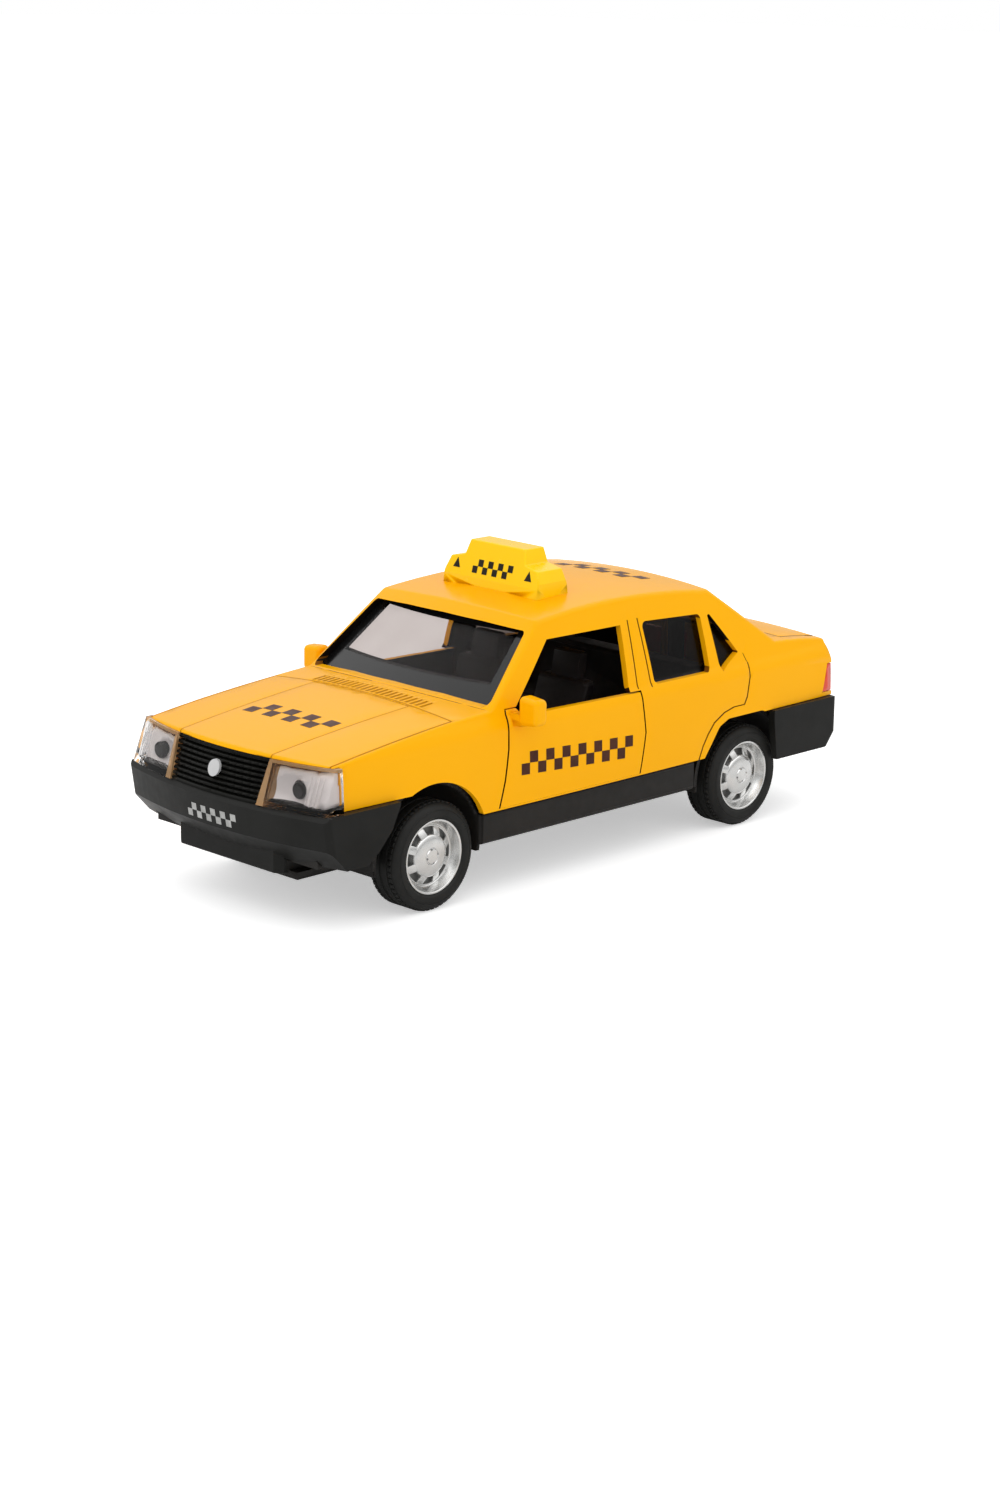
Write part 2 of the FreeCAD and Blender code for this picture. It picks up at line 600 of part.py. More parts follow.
frontLiner = liner("frontLiner", "frontArchY", "frontArchZ", "frontArchRadius + 0.2")
rearLiner = cut("rearLinerTrimmed", liner("rearLiner", f"{rearAxle} - 0.3", "9.6", "12.6"),
                box("rearLinerEnd", ("0", f"{rearAxle} + 6", "-20"), (far, "80", "11.7")))
sideParts = fuse("sideParts", sill, frontLiner, rearLiner)
saddles = [box(f"saddle{side}", (f"{side} * 11.5 - 1.5", f"{frontAxle} - 3.2", "floorZ - 1.5"),
               (f"{side} * 11.5 + 1.5", f"{frontAxle} + 3.2", "13"))
           for side in (-1, 1)]
axleSlot = fuse("axleSlot", rod("axleBore", "axleRadius + runningGap",
                                ("-16.5", frontAxle, "tyreRadius"), "33"),
                box("axleGroove", ("-16.5", f"{frontAxle} - axleRadius - runningGap", "0"),
                    ("16.5", f"{frontAxle} + axleRadius + runningGap", "tyreRadius")))
motorWindow = box("motorWindow", ("-caseHalf - 0.15", "34.0", "0"), ("caseHalf + 0.15", "61.7", "20"))
rearAxleSlot = box("rearAxleSlot", ("-17", f"{rearAxle} - 1.6", "0"),
                   ("17", f"{rearAxle} + 1.6", "tyreRadius + 1.6"))
chassisHoles = [rod(f"floorHole{number}", "screwHole + 0.1", (x, y, "0"), "14", Rotation())
                for number, (x, y) in enumerate(postSpots)]
postRooms = [rod(f"postRoom{number}", "postRadius + 0.1", (x, y, floorTop), "14", Rotation())
             for number, (x, y) in enumerate(postSpots)]
earSpots = [("8.2", "38.0"), ("-8.2", "38.0")]
earHoles = [rod(f"earHole{number}", "screwHole", (x, y, "floorZ - 3"), "6", Rotation())
            for number, (x, y) in enumerate(earSpots)]
earBosses = [rod(f"earBoss{number}", "2.2", (x, y, "floorZ"), "4", Rotation()) for number,
             (x, y) in enumerate(earSpots)]
retainerHole = rod("retainerHole", "screwHole", ("0", f"{frontAxle} - 5.8", "floorZ - 1"), "4", Rotation())
chassis = cut("chassis", fuse("chassisSolid", *floorParts, sideParts,
                              mirrored("sidePartsRight", sideParts), *saddles,
                              *earBosses),
              axleSlot, motorWindow, rearAxleSlot, *chassisHoles, *postRooms, *earHoles, retainerHole)
node("chassis_base", chassis)

# A strap closes the two saddles from below and keeps the front axle in.
strap = box("strap", ("-14.0", f"{frontAxle} - 3.0", "5.5"), ("14.0", f"{frontAxle} + 3.0", "floorZ - 1.5"))
tongues = [box(f"tongue{side}", (f"{side} * 11.5 - 1.4", f"{frontAxle} - axleRadius", "5.5"),
               (f"{side} * 11.5 + 1.4", f"{frontAxle} + axleRadius",
                "tyreRadius - axleRadius - runningGap"))
           for side in (-1, 1)]
strapTab = box("strapTab", ("-2.6", f"{frontAxle} - 8.2", "floorZ - 1.2"),
               ("2.6", f"{frontAxle} - 2.5", "floorZ"))
strapNeck = box("strapNeck", ("-2.6", f"{frontAxle} - 3.6", "5.5"), ("2.6", f"{frontAxle} - 2.5", "floorZ"))
strapHole = rod("strapHole", "screwHole", ("0", f"{frontAxle} - 5.8", "0"), "12", Rotation())
node("front_axle_strap", cut("strapCut", fuse("strapSolid", strap, strapTab, strapNeck, *tongues),
                             strapHole))

# Bumpers.
def crowned(name, corners, sweep):
    """A block whose long profile sweeps back along Y towards the car's sides."""
    sections = []
    for label, share, x in (("Right", 1, -25), ("Middle", 0, 0), ("Left", 1, 25)):
        moved = [(f"({y}) + ({sweep}) * {share}", z) for y, z in corners]
        sections.append(outline(name + label, "YZ", moved, str(x)))
    item = doc.addObject("Part::Loft", name)
    item.Sections = sections
    item.Solid = True
    item.Ruled = False
    return item


def bumper(name, sign, faceY, reach, sweep, chin, wall, wingCut):
    """A bumper that wraps the corners; sign is -1 at the nose and 1 at the tail.

    The chin tells how high its lower break lies, how far the face leans in there and at the foot.
    """
    rise, lean, foot = chin
    solid = crowned(name + "Crown", [
        (f"{faceY} - {sign} * 0.6", "bumperTop"), (faceY, "bumperTop - 0.8"),
        (f"{faceY} - {sign} * {lean}", f"bumperLow + {rise}"), (f"{faceY} - {sign} * {foot}", "bumperLow"),
        (reach, "bumperLow"), (reach, "bumperTop")], f"-{sign} * {sweep}")
    sides = box(name + "Sides", ("-bumperHalf", "-70", "0"), ("bumperHalf", "70", "40"))

    def corner(edge):
        bounds = edge.BoundBox
        atSide = bounds.XLength < 0.3 and abs(abs(bounds.XMax) - size("bumperHalf")) < 0.3
        return atSide and bounds.YLength < 3 and edge.Length > 2 and bounds.YMin * sign > 55

    block = rounded(name + "Corner", common(name + "Block", solid, sides), "1.3", corner)
    hollow = crowned(name + "Hollow", [
        (f"{faceY} - {sign} * ({wall})", "40"), (f"{faceY} - {sign} * ({wall})", "0"),
        (f"{reach} - {sign} * 9", "0"), (f"{reach} - {sign} * 9", "40")], f"-{sign} * {sweep}")
    room = box(name + "Room", ("-23.45", "-70", "0"), ("23.45", "70", "40"))
    wing = prism(name + "WingCut", "YZ", wingCut, f"-{far}", far)
    return cut(name + "Band", block, common(name + "Inside", hollow, room), wing)


frontBand = bumper("frontBumper", -1, "-66.25", "-44", "3.6", ("3.6", "0.8", "4.2"), "bumperWall + 3.2",
                   [("-30", "0"), ("-30", "40"), ("-46.6", "40"), ("-46.9", "20.4"), ("-48.7", "16.6"),
                    ("-51.3", "13.7"), ("-54.6", "11.0"), ("-54.6", "0")])
rearBand = bumper("rearBumper", 1, "66.25", "44", "1.9", ("2.4", "-0.05", "1.9"), "bumperWall + 1.2",
                  [("30", "0"), ("30", "40"), ("46.2", "40"), ("46.4", "19"), ("47.4", "12.0"),
                   ("47.4", "0")])


def shelf(name, sign, faceY, depth, sweep, low, high, half):
    """The bumper's own top or bottom web, between its face and the body."""
    block = crowned(name + "Crown", [(f"{faceY} - {sign} * 1.3", low), (f"{faceY} - {sign} * 1.3", high),
                                     (f"{faceY} - {sign} * {depth}", high),
                                     (f"{faceY} - {sign} * {depth}", low)],
                    f"-{sign} * {sweep}")
    return common(name, block, box(name + "Span", (f"-({half})", "-70", "0"), (half, "70", "40")))


frontTop = shelf("frontTop", -1, "-66.25", "8", "3.6", "bumperTop - 1.2", "bumperTop", "24")
rearTop = shelf("rearTop", 1, "66.25", "4", "1.9", "bumperTop - 1.2", "bumperTop", "24")
valance = rounded("valance", prism("valanceBlock", "XY", [
    ("-13", "-53.2"), ("-13", "-61.4"), ("-11.6", "-62.5"), ("11.6", "-62.5"), ("13", "-61.4"),
    ("13", "-53.2")],
    "valanceZ", "13.4"), "0.4", lambda edge: edge.BoundBox.ZMax < size("valanceZ") + 0.1)
node("front_bumper", cut("frontBumperCut", fuse("frontBumperSolid", frontBand, frontTop, valance),
                         box("noseRoom", ("-20.3", "-60.8", "9"), ("20.3", "-40", "12.8"))))
node("rear_bumper", cut("rearBumperCut", fuse("rearBumperSolid", rearBand, rearTop),
                        box("tailRoom", ("-20.3", "40", "9"), ("20.3", "60.3", "12.8"))))

# Nose: grille, emblem and headlamps.
lampLow = "bumperTop + 0.05"
lampHigh = "mouthTop - 0.05"
grilleBlock = common("grilleBlock", outer, prism("grilleZone", "XZ", [
    ("-10.6", lampLow), ("-11.3", lampHigh), ("11.3", lampHigh), ("10.6", lampLow)], "-80", "-60.2"))
slots = [box(f"grilleSlot{number}", ("-12", "-80", f"bumperTop + 0.55 + {number} * 0.82"),
             ("12", "0", f"bumperTop + 0.55 + {number} * 0.82 + 0.42")) for number in range(8)]
grilleDepth = cut("grilleDepth", outer, envelope("grilleFloor", 0.75))
node("grille", cut("grilleCut", grilleBlock, common("grilleSlots", grilleDepth, fuse("slotSet", *slots))))

badge = common("badgeDisc", rod("badgeRod", "1.35", ("0", "-67", "24.9"), "6", alongY),
               cut("badgeShell", feature("badgeSkin", outer.Shape.translated(Vector(0, -0.45, 0))), outer))
node("grille_badge", badge)

lampZone = prism("lampZone", "XZ", [("10.7", lampLow), ("11.4", lampHigh), (far, lampHigh), (far, lampLow)],
                 "-80", "mouthBack - 0.1")
lampBlock = common("lampBlock", envelope("lampOuter", -0.3, sideInset=-0.85), lampZone)
lampHollow = common("lampHollow", envelope("lampInner", 0.45, sideInset=-0.1),
                    box("lampHollowBox", ("12.0", "-80", "bumperTop + 0.75"),
                        (far, "-50", "mouthTop - 0.75")))
bothSides("headlamp_lens", cut("lampLens", lampBlock, lampHollow))
reflectorBlock = common("reflectorBlock", envelope("reflectorLimit", 0.8, sideInset=0.4),
                        box("reflectorBox", ("12.1", "-80", "bumperTop + 0.85"),
                            (far, "mouthBack - 0.15", "mouthTop - 0.85")))
bowl = doc.addObject("Part::Sphere", "reflectorBowl")
bind(bowl, "Radius", "6.2")
bindPlace(bowl, ("16.6", "-67.3", "24.6"))
reflectorHole = rod("reflectorHole", "1.15", ("16.6", "-70", "24.3"), "20", alongY)
bothSides("headlamp_reflector", cut("reflectorCut", reflectorBlock, bowl, reflectorHole))

tailBlock = common("tailBlock", envelope("tailOuter", 0.1), prism("tailLampTrim", "YZ", [
    ("61.55", "21.85"), ("62.95", "26.85"), ("70", "26.85"), ("70", "21.85")], "12.55", far))
bothSides("tail_lamp", cut("tailLamp", tailBlock, envelope("tailLampInner", 1.6)))

# Glazing.
glassSkin = cut("glassSkin", glassOuter, glassInner)
node("windscreen", common("windscreenPane", glassSkin, prism("windscreenZone", "YZ", [
    ("-32", "32.2"), ("-21.5", "32.2"), ("-7.5", "43.7"), ("-14", "47")], "-21.2", "21.2")))
node("rear_glazing", common("rearPane", glassSkin,
                            prism("rearZone", "YZ", [("13.9", "29.2"), ("13.4", "43.3"), ("60", "43.3"),
                                                     ("60", "33.6"),
                                                     ("45", "33.6"), ("41", "29.2")], f"-{far}", far)))

# Cabin.
tubParts = [
    box("tubFloor", ("-18.8", "-23.8", "bodyBottom + 0.1"), ("18.8", "27.5", "bodyBottom + 1.2")),
    box("tubHeel", ("-14.3", "27", "bodyBottom + 0.1"), ("14.3", "33", "bodyBottom + 1.2")),
    box("tubFront", ("-14", "-23.8", "bodyBottom + 0.1"), ("14", "-22.8", "24")),
    rounded("benchSeat", box("benchBlock", ("-17", "14.5", "bodyBottom + 1"), ("17", "27", "22.5")), "1.2",
            lambda edge: runsAlong(edge, Vector(1, 0, 0)) and edge.BoundBox.ZMin > 20),
    rounded("benchBack", prism("benchBackBlock", "YZ",
                               [("24.5", "bodyBottom + 1"), ("26.6", "31.3"), ("29.4", "31.3"),
                                                        ("29.4", "bodyBottom + 1")], "-17", "17"), "0.9",
            lambda edge: runsAlong(edge, Vector(1, 0, 0)) and edge.BoundBox.ZMin > 30),
    box("parcelShelf", ("-19", "29.2", "29.4"), ("19", "33", "30.6")),
    box("tubBack", ("-14.3", "31.8", "bodyBottom + 0.2"), ("14.3", "33", "30")),
]
bracketWall = box("bracketWall", ("14.9", "hingeY + 1.8", "bodyBottom + 0.2"),
                  ("16.1", "hingeY + 4.2", "25.4"))
tubParts += [bracketWall, mirrored("bracketWallRight", bracketWall)]
for label, low in (("Lower", "knuckleLow - earGap - earThick"), ("Upper", "knuckleHigh + earGap")):
    arm = box(f"ear{label}Arm", ("14.9", "hingeY - 1.2", low),
              ("hingeX", "hingeY + 1.2", f"{low} + earThick"))
    web = box(f"ear{label}Web", ("14.9", "hingeY - 1.2", low),
              ("16.1", "hingeY + 4.2", f"{low} + earThick"))
    tip = rod(f"ear{label}Tip", "1.2", ("hingeX", "hingeY", low), "earThick", Rotation())
    ear = fuse(f"ear{label}", arm, web, tip)
    tubParts += [ear, mirrored(f"ear{label}Right", ear)]
pinSeats = rod("pinSeat", "pinRadius", ("hingeX", "hingeY", "10"), "30", Rotation())
tub = cut("tub", fuse("tubSolid", *tubParts), pinSeats, mirrored("pinSeatRight", pinSeats))
node("interior_tub", tub)

dash = rounded("dash", prism("dashBlock", "YZ", [
    ("-22.6", "25.5"), ("-24.2", "30.9"), ("-21.5", "31.7"), ("-18.6", "30.7"), ("-17.6", "27.6"),
    ("-19.4", "25.5")],
    "-18.6", "18.6"), "0.5", lambda edge: runsAlong(edge, Vector(1, 0, 0)) and edge.BoundBox.ZMin > 27)
binnacle = rounded("binnacle", box("binnacleBlock", ("6.2", "-20.8", "29"), ("13.4", "-17.2", "32.2")),
                   "0.6",
                   lambda edge: edge.BoundBox.ZMin > 31)
console = box("console", ("-2.6", "-22.6", "bodyBottom + 1.3"), ("2.6", "-18.8", "26"))
dashLimit = envelope("dashLimit", 2.2)
node("dashboard", common("dashTrim", fuse("dashSolid", dash, binnacle, console), dashLimit))

wheelTilt = Rotation(Vector(1, 0, 0), -62)
steering = doc.addObject("Part::Torus", "steeringRing")
steering.Placement = Placement(Vector(), wheelTilt)
bind(steering, "Radius1", "3.9")
bind(steering, "Radius2", "0.42")
bindPlace(steering, ("9.8", "-14.6", "28.0"))
steeringHub = rod("steeringHub", "1.0", ("9.8", "-14.9", "28.15"), "0.9", wheelTilt)
steeringColumn = doc.addObject("Part::Cylinder", "steeringColumn")
steeringColumn.Placement = Placement(Vector(), Rotation(Vector(1, 0, 0), 118))
bind(steeringColumn, "Radius", "0.6")
bind(steeringColumn, "Height", "4.2")
bindPlace(steeringColumn, ("9.8", "-14.5", "28.0"))
spokes = []
for number, turn in enumerate((0, 90)):
    spoke = doc.addObject("Part::Box", f"spoke{number}")
    spoke.Placement = Placement(Vector(), wheelTilt.multiply(Rotation(Vector(0, 0, 1), turn)))
    bind(spoke, "Length", "3.9" if turn else "7.8")
    bind(spoke, "Width", "0.8")
    bind(spoke, "Height", "0.5")
    corner = spoke.Placement.Rotation.multVec(Vector(-3.9, -0.4, -0.25))
    bindPlace(spoke, (f"9.8 + {corner.x:.4f}", f"-14.6 + {corner.y:.4f}", f"28.0 + {corner.z:.4f}"))
    spokes.append(spoke)
node("steering_wheel", fuse("steeringSolid", steering, steeringHub, steeringColumn, *spokes))

seatSide = fuse("seatSolid",
                rounded("seatCushion", box("seatCushionBlock", ("4.3", "-8.5", "bodyBottom + 1.2"),
                                           ("15.7", "4.5", "21.6")),
                        "1.2", lambda edge: edge.BoundBox.ZMin > 19),
                rounded("seatBack", prism("seatBackBlock", "YZ",
                                          [("1.6", "17.5"), ("5.6", "31.0"), ("8.2", "31.0"),
                                                                  ("5.4", "17.5")], "4.6", "15.4"), "0.9",
                        lambda edge: edge.BoundBox.ZMin > 17.6 and edge.Length > 2),
                rounded("headrest", prism("headrestBlock", "YZ",
                                          [("5.9", "30.5"), ("6.9", "35.6"), ("8.7", "35.6"),
                                                                  ("8.1", "30.5")], "6.9", "13.1"), "0.6",
                        lambda edge: edge.BoundBox.ZMin > 31 and edge.Length > 1))
bothSides("front_seat", seatSide)

# Roof sign.
signSteps = [("11.4", "44"), ("11.4", "48.4"), ("10.6", "50.4"), ("7.4", "51.1"), ("6.7", "53.7")]
signFace = prism("signFace", "XZ", signSteps + [("-" + x, z) for x, z in reversed(signSteps)], "-3.2",
                 "5.6")
signSlope = prism("signSlope", "YZ", [("-2.9", "44"), ("-2.5", "47.4"), ("-0.7", "53.8"),
                                      ("3.9", "53.8"), ("4.9", "47.4"),
                                      ("5.3", "44")], "-15", "15")
signBlock = rounded("signBlock", common("signRaw", signFace, signSlope), "0.35",
                    lambda edge: edge.Length > 1.2 and edge.BoundBox.ZMin > 46.5)
pegs = [rod(f"signPeg{side}", "1.2", (f"{side} * 6", "signMiddle", "44.2"), "4", Rotation())
        for side in (-1, 1)]
node("roof_sign", fuse("signSolid", cut("signTrim", signBlock, outer), *pegs))

# Friction motor.
def gearOutline(teeth, bore):
    """A spur gear's face: involute flanks, shallow tips, root arcs left as chords."""
    module = size("gearModule")
    pitch = module * teeth / 2
    tip = pitch + module * 0.8
    root = pitch - module
    pressure = math.radians(25)
    base = pitch * math.cos(pressure)
    slack = 0.05 / pitch
    atPitch = math.pi / (2 * teeth) - slack
    involute = math.tan(pressure) - pressure
    spots = []
    for tooth in range(teeth):
        middle = 2 * math.pi * tooth / teeth
        flank = []
        for step in range(6):
            radius = max(root, base) + (tip - max(root, base)) * step / 5
            roll = math.acos(min(1, base / radius))
            half = atPitch + involute - (math.tan(roll) - roll)
            flank.append((radius, half))
        spots.append((root, middle - flank[0][1] - 0.02))
        spots += [(radius, middle - half) for radius, half in flank]
        spots += [(radius, middle + half) for radius, half in reversed(flank)]
        spots.append((root, middle + flank[0][1] + 0.02))
    points = [Vector(0, r * math.cos(a), r * math.sin(a)) for r, a in spots]
    face = Part.Face(Part.makePolygon(points + points[:1]))
    if bore:
        face = face.cut(Part.Face(Part.Wire(Part.makeCircle(bore, Vector(), Vector(1, 0, 0)))))
    return face


def gear(name, teeth, bore, x, centre, turn):
    """A gear that starts at x on a line along X, turned so that it meshes at rest."""
    shape = gearOutline(teeth, bore).extrude(Vector(size("gearWidth"), 0, 0))
    item = feature(name, shape)
    item.Placement = Placement(Vector(x, centre[0], centre[1]), Rotation(Vector(1, 0, 0), turn))
    return item


wheelTeeth = int(size("wheelTeeth"))
pinionTeeth = int(size("pinionTeeth"))
spacing = size("gearModule") * (wheelTeeth + pinionTeeth) / 2
tilt = size("trainTilt")
alongTrain = Vector(math.cos(math.radians(tilt)), math.sin(math.radians(tilt)), 0)
axleSpot = (size(rearAxle), size("tyreRadius"))
idlerSpot = (axleSpot[0] + spacing * alongTrain.x, axleSpot[1] + spacing * alongTrain.y)
flySpot = (axleSpot[0] + 2 * spacing * alongTrain.x, axleSpot[1] + 2 * spacing * alongTrain.y)
layerA, layerB, layerC = 2.5, 0.2, -4.4

# A tooth of each driving gear points along the train; the driven gear shows it a gap.
node("axle_gear", gear("axleGear", wheelTeeth, size("axleRadius"), layerA, axleSpot, tilt))
halfPitch = 180 / pinionTeeth
idlerPinion = gear("idlerPinion", pinionTeeth, 0, layerA, idlerSpot, tilt + 180 + halfPitch)
idlerWheel = gear("idlerWheel", wheelTeeth, 0, layerB, idlerSpot, tilt)
idlerWeb = rod("idlerWeb", "1.6", (f"{layerB}", f"{idlerSpot[0]:.4f}", f"{idlerSpot[1]:.4f}"),
               f"{layerA} - {layerB} + 0.5")
idlerShaft = rod("idlerShaft", "shaftRadius", ("-caseHalf + caseWall - 0.55", f"{idlerSpot[0]:.4f}",
                                               f"{idlerSpot[1]:.4f}"),
                 "(caseHalf - caseWall + 0.55) * 2")
node("idler_gear", fuse("idlerSolid", idlerPinion, idlerWheel, idlerWeb, idlerShaft))
flyPinion = gear("flyPinion", pinionTeeth, 0, layerB, flySpot, tilt + 180 + halfPitch)
flyDisc = rounded("flyDisc", rod("flyBlank", "flywheelRadius",
                                 (f"{layerC}", f"{flySpot[0]:.4f}", f"{flySpot[1]:.4f}"),
                                 "flywheelWidth"), "0.4", lambda edge: edge.Length > 30)
flyWeb = rod("flyWeb", "1.6", (f"{layerC}", f"{flySpot[0]:.4f}", f"{flySpot[1]:.4f}"),
             f"{layerB} - ({layerC}) + 0.3")
flyShaft = rod("flyShaft", "shaftRadius", ("-caseHalf + caseWall - 0.55", f"{flySpot[0]:.4f}",
                                           f"{flySpot[1]:.4f}"),
               "(caseHalf - caseWall + 0.55) * 2")
node("flywheel", fuse("flywheelSolid", flyPinion, flyDisc, flyWeb, flyShaft))


def hullFace(first, firstRadius, last, lastRadius, x):
    """Two discs and the straight tangents between them, as one face."""
    a = Vector(x, *first)
    b = Vector(x, *last)
    gap = (b - a).Length
    aim = math.atan2(b.z - a.z, b.y - a.y)
    lean = math.acos((firstRadius - lastRadius) / gap)

    def spot(centre, radius, angle):
        return centre + Vector(0, radius * math.cos(angle), radius * math.sin(angle))

    edges = [
        Part.LineSegment(spot(a, firstRadius, aim - lean), spot(b, lastRadius, aim - lean)).toShape(),
        Part.Arc(spot(b, lastRadius, aim - lean), spot(b, lastRadius, aim),
                 spot(b, lastRadius, aim + lean)).toShape(),
        Part.LineSegment(spot(b, lastRadius, aim + lean), spot(a, firstRadius, aim + lean)).toShape(),
        Part.Arc(spot(a, firstRadius, aim + lean), spot(a, firstRadius, aim + math.pi),
                 spot(a, firstRadius, aim - lean)).toShape(),
    ]
    return Part.Face(Part.Wire(edges))


caseReach = size("caseHalf")
caseSkin = size("caseWall")
caseOuter = feature("caseOuter", hullFace(axleSpot, 5.6 + caseSkin, flySpot, 6.4 + caseSkin,
                                          -caseReach).extrude(
    Vector(2 * caseReach, 0, 0)))
caseInner = feature("caseInner", hullFace(axleSpot, 5.6, flySpot, 6.4, caseSkin - caseReach).extrude(
    Vector(2 * (caseReach - caseSkin), 0, 0)))
caseEars = [cut(f"caseEar{number}", fuse(f"caseEarBlock{number}",
                                         rod(f"caseEarRound{number}", "2.2", (x, y, "floorZ - 1.2"),
                                             "1.2", Rotation()),
                                         box(f"caseEarArm{number}",
                                             (f"{x} / 8.2 * 5.6 - 2.4", f"{y} - 2.2", "floorZ - 1.2"),
                                             (f"{x} / 8.2 * 5.6 + 2.4", f"{y} + 2.2", "floorZ"))),
                rod(f"caseEarHole{number}", "screwHole", (x, y, "0"), "12", Rotation()))
            for number, (x, y) in enumerate(earSpots)]
bores = [rod("axleCaseBore", "axleRadius + runningGap", ("-10", rearAxle, "tyreRadius"), "20")]
for label, spot in (("idler", idlerSpot), ("fly", flySpot)):
    bores.append(rod(label + "Bore", "shaftRadius + runningGap",
                     ("-caseHalf + caseWall - 0.6", f"{spot[0]:.4f}", f"{spot[1]:.4f}"),
                     "(caseHalf - caseWall + 0.6) * 2"))
for side, label in ((1, "left"), (-1, "right")):
    halfBox = box(f"caseHalf{label}", ("0" if side > 0 else "-20", "0", "0"),
                  ("20" if side > 0 else "0", "80", "40"))
    body = cut(f"caseBody{label}", fuse(f"caseBlock{label}", caseOuter, caseEars[0 if side > 0 else 1]),
               caseInner, *bores)
    node(f"motor_case_{label}", common(f"motorCase{label}", body, halfBox))

# Screws, all alike.
screwSpots = [(x, y, "floorZ") for x, y in postSpots]
screwSpots += [(x, y, "floorZ - 1.2") for x, y in earSpots]
screwSpots.append(("0", f"{frontAxle} - 5.8", "floorZ - 1.2"))
screws = []
for number, (x, y, z) in enumerate(screwSpots):
    shank = rod(f"shank{number}", "screwRadius", (x, y, z), "screwLength" if number < 3 else "3.2",
                Rotation())
    head = rounded(f"head{number}", rod(f"headBlank{number}", "headRadius", (x, y, f"{z} - headHeight"),
                                        "headHeight", Rotation()),
                   "0.35", lambda edge: edge.Length > 5 and edge.BoundBox.ZMax < 8)
    crossA = box(f"crossA{number}", (f"{x} - 0.95", f"{y} - 0.2", f"{z} - headHeight - 0.1"),
                 (f"{x} + 0.95", f"{y} + 0.2", f"{z} - headHeight + 0.45"))
    crossB = box(f"crossB{number}", (f"{x} - 0.2", f"{y} - 0.95", f"{z} - headHeight - 0.1"),
                 (f"{x} + 0.2", f"{y} + 0.95", f"{z} - headHeight + 0.45"))
    screws.append(cut(f"screw{number}", fuse(f"screwBlank{number}", shank, head), crossA, crossB))
screwSet = doc.addObject("Part::Compound", "screwSet")
screwSet.Links = screws
node("chassis_screws", screwSet)

# Checks and files.
doc.recompute()
failed = [item.Name for item in doc.Objects if "Invalid" in item.State or "Error" in item.State]
if failed:
    raise RuntimeError("these did not build: " + ", ".join(failed))
os.makedirs("parts", exist_ok=True)
for name, item in nodes.items():
    if item.Shape.isNull() or not item.Shape.isValid():
        raise RuntimeError(f"{name} has no valid shape")
for name, item in nodes.items():
    item.Shape.exportStep(f"parts/{name}.step")
    bounds = item.Shape.BoundBox
    print(f"{name}: {len(item.Shape.Solids)} solid(s), {item.Shape.Volume:.1f} mm3, "
          f"y {bounds.YMin:.1f}..{bounds.YMax:.1f}, z {bounds.ZMin:.1f}..{bounds.ZMax:.1f}")
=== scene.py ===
import json
import math
import bmesh
import bpy
from mathutils import Matrix, Vector
from mathutils.bvhtree import BVHTree


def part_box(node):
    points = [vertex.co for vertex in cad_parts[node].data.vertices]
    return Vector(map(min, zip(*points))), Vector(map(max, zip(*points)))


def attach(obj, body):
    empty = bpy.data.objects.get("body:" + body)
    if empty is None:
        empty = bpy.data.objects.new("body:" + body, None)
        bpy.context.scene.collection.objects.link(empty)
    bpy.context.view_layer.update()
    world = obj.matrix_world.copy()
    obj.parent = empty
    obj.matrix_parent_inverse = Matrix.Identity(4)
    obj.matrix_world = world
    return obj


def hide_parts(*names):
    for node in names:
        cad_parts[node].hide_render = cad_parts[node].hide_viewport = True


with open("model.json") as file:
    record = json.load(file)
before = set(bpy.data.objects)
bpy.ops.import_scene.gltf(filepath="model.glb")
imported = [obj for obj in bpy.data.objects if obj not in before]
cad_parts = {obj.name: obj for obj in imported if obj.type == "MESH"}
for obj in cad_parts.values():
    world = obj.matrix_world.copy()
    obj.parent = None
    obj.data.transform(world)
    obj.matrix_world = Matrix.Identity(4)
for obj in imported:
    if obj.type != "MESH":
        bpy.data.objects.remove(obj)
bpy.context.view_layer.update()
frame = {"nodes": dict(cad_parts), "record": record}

scene = bpy.context.scene
mm = 0.001
bodyOf = {node: body for body, members in frame["record"]["behaviour"]["bodies"].items() for node in members}
slotOf = {part["node"]: part["material_slot"] for part in frame["record"]["subparts"]}
sides = {"left": 1, "right": -1}
usualSharp = 32          # degrees between two faces that still shade as one


# Finishes. Every look is a small dictionary: grain sizes are in waves per millimetre, depth in millimetres.

def addNode(tree, kind, **values):
    node = tree.nodes.new(kind)
    for name, value in values.items():
        setattr(node, name, value)
    return node


def noiseOf(tree, coords, wavesPerMm, detail, stretch):
    source = coords.outputs["Object"]
    if stretch:
        mapping = addNode(tree, "ShaderNodeMapping")
        mapping.inputs["Scale"].default_value = stretch
        tree.links.new(source, mapping.inputs["Vector"])
        source = mapping.outputs["Vector"]
    noise = addNode(tree, "ShaderNodeTexNoise")
    noise.inputs["Scale"].default_value = wavesPerMm / mm
    noise.inputs["Detail"].default_value = detail
    tree.links.new(source, noise.inputs["Vector"])
    return noise.outputs["Fac"]


def rampOf(tree, value, low, high):
    ramp = addNode(tree, "ShaderNodeValToRGB")
    for element, place, shade in zip(ramp.color_ramp.elements, (0.35, 0.65), (low, high)):
        element.position = place
        element.color = (*shade, 1)
    tree.links.new(value, ramp.inputs["Fac"])
    return ramp.outputs["Color"]


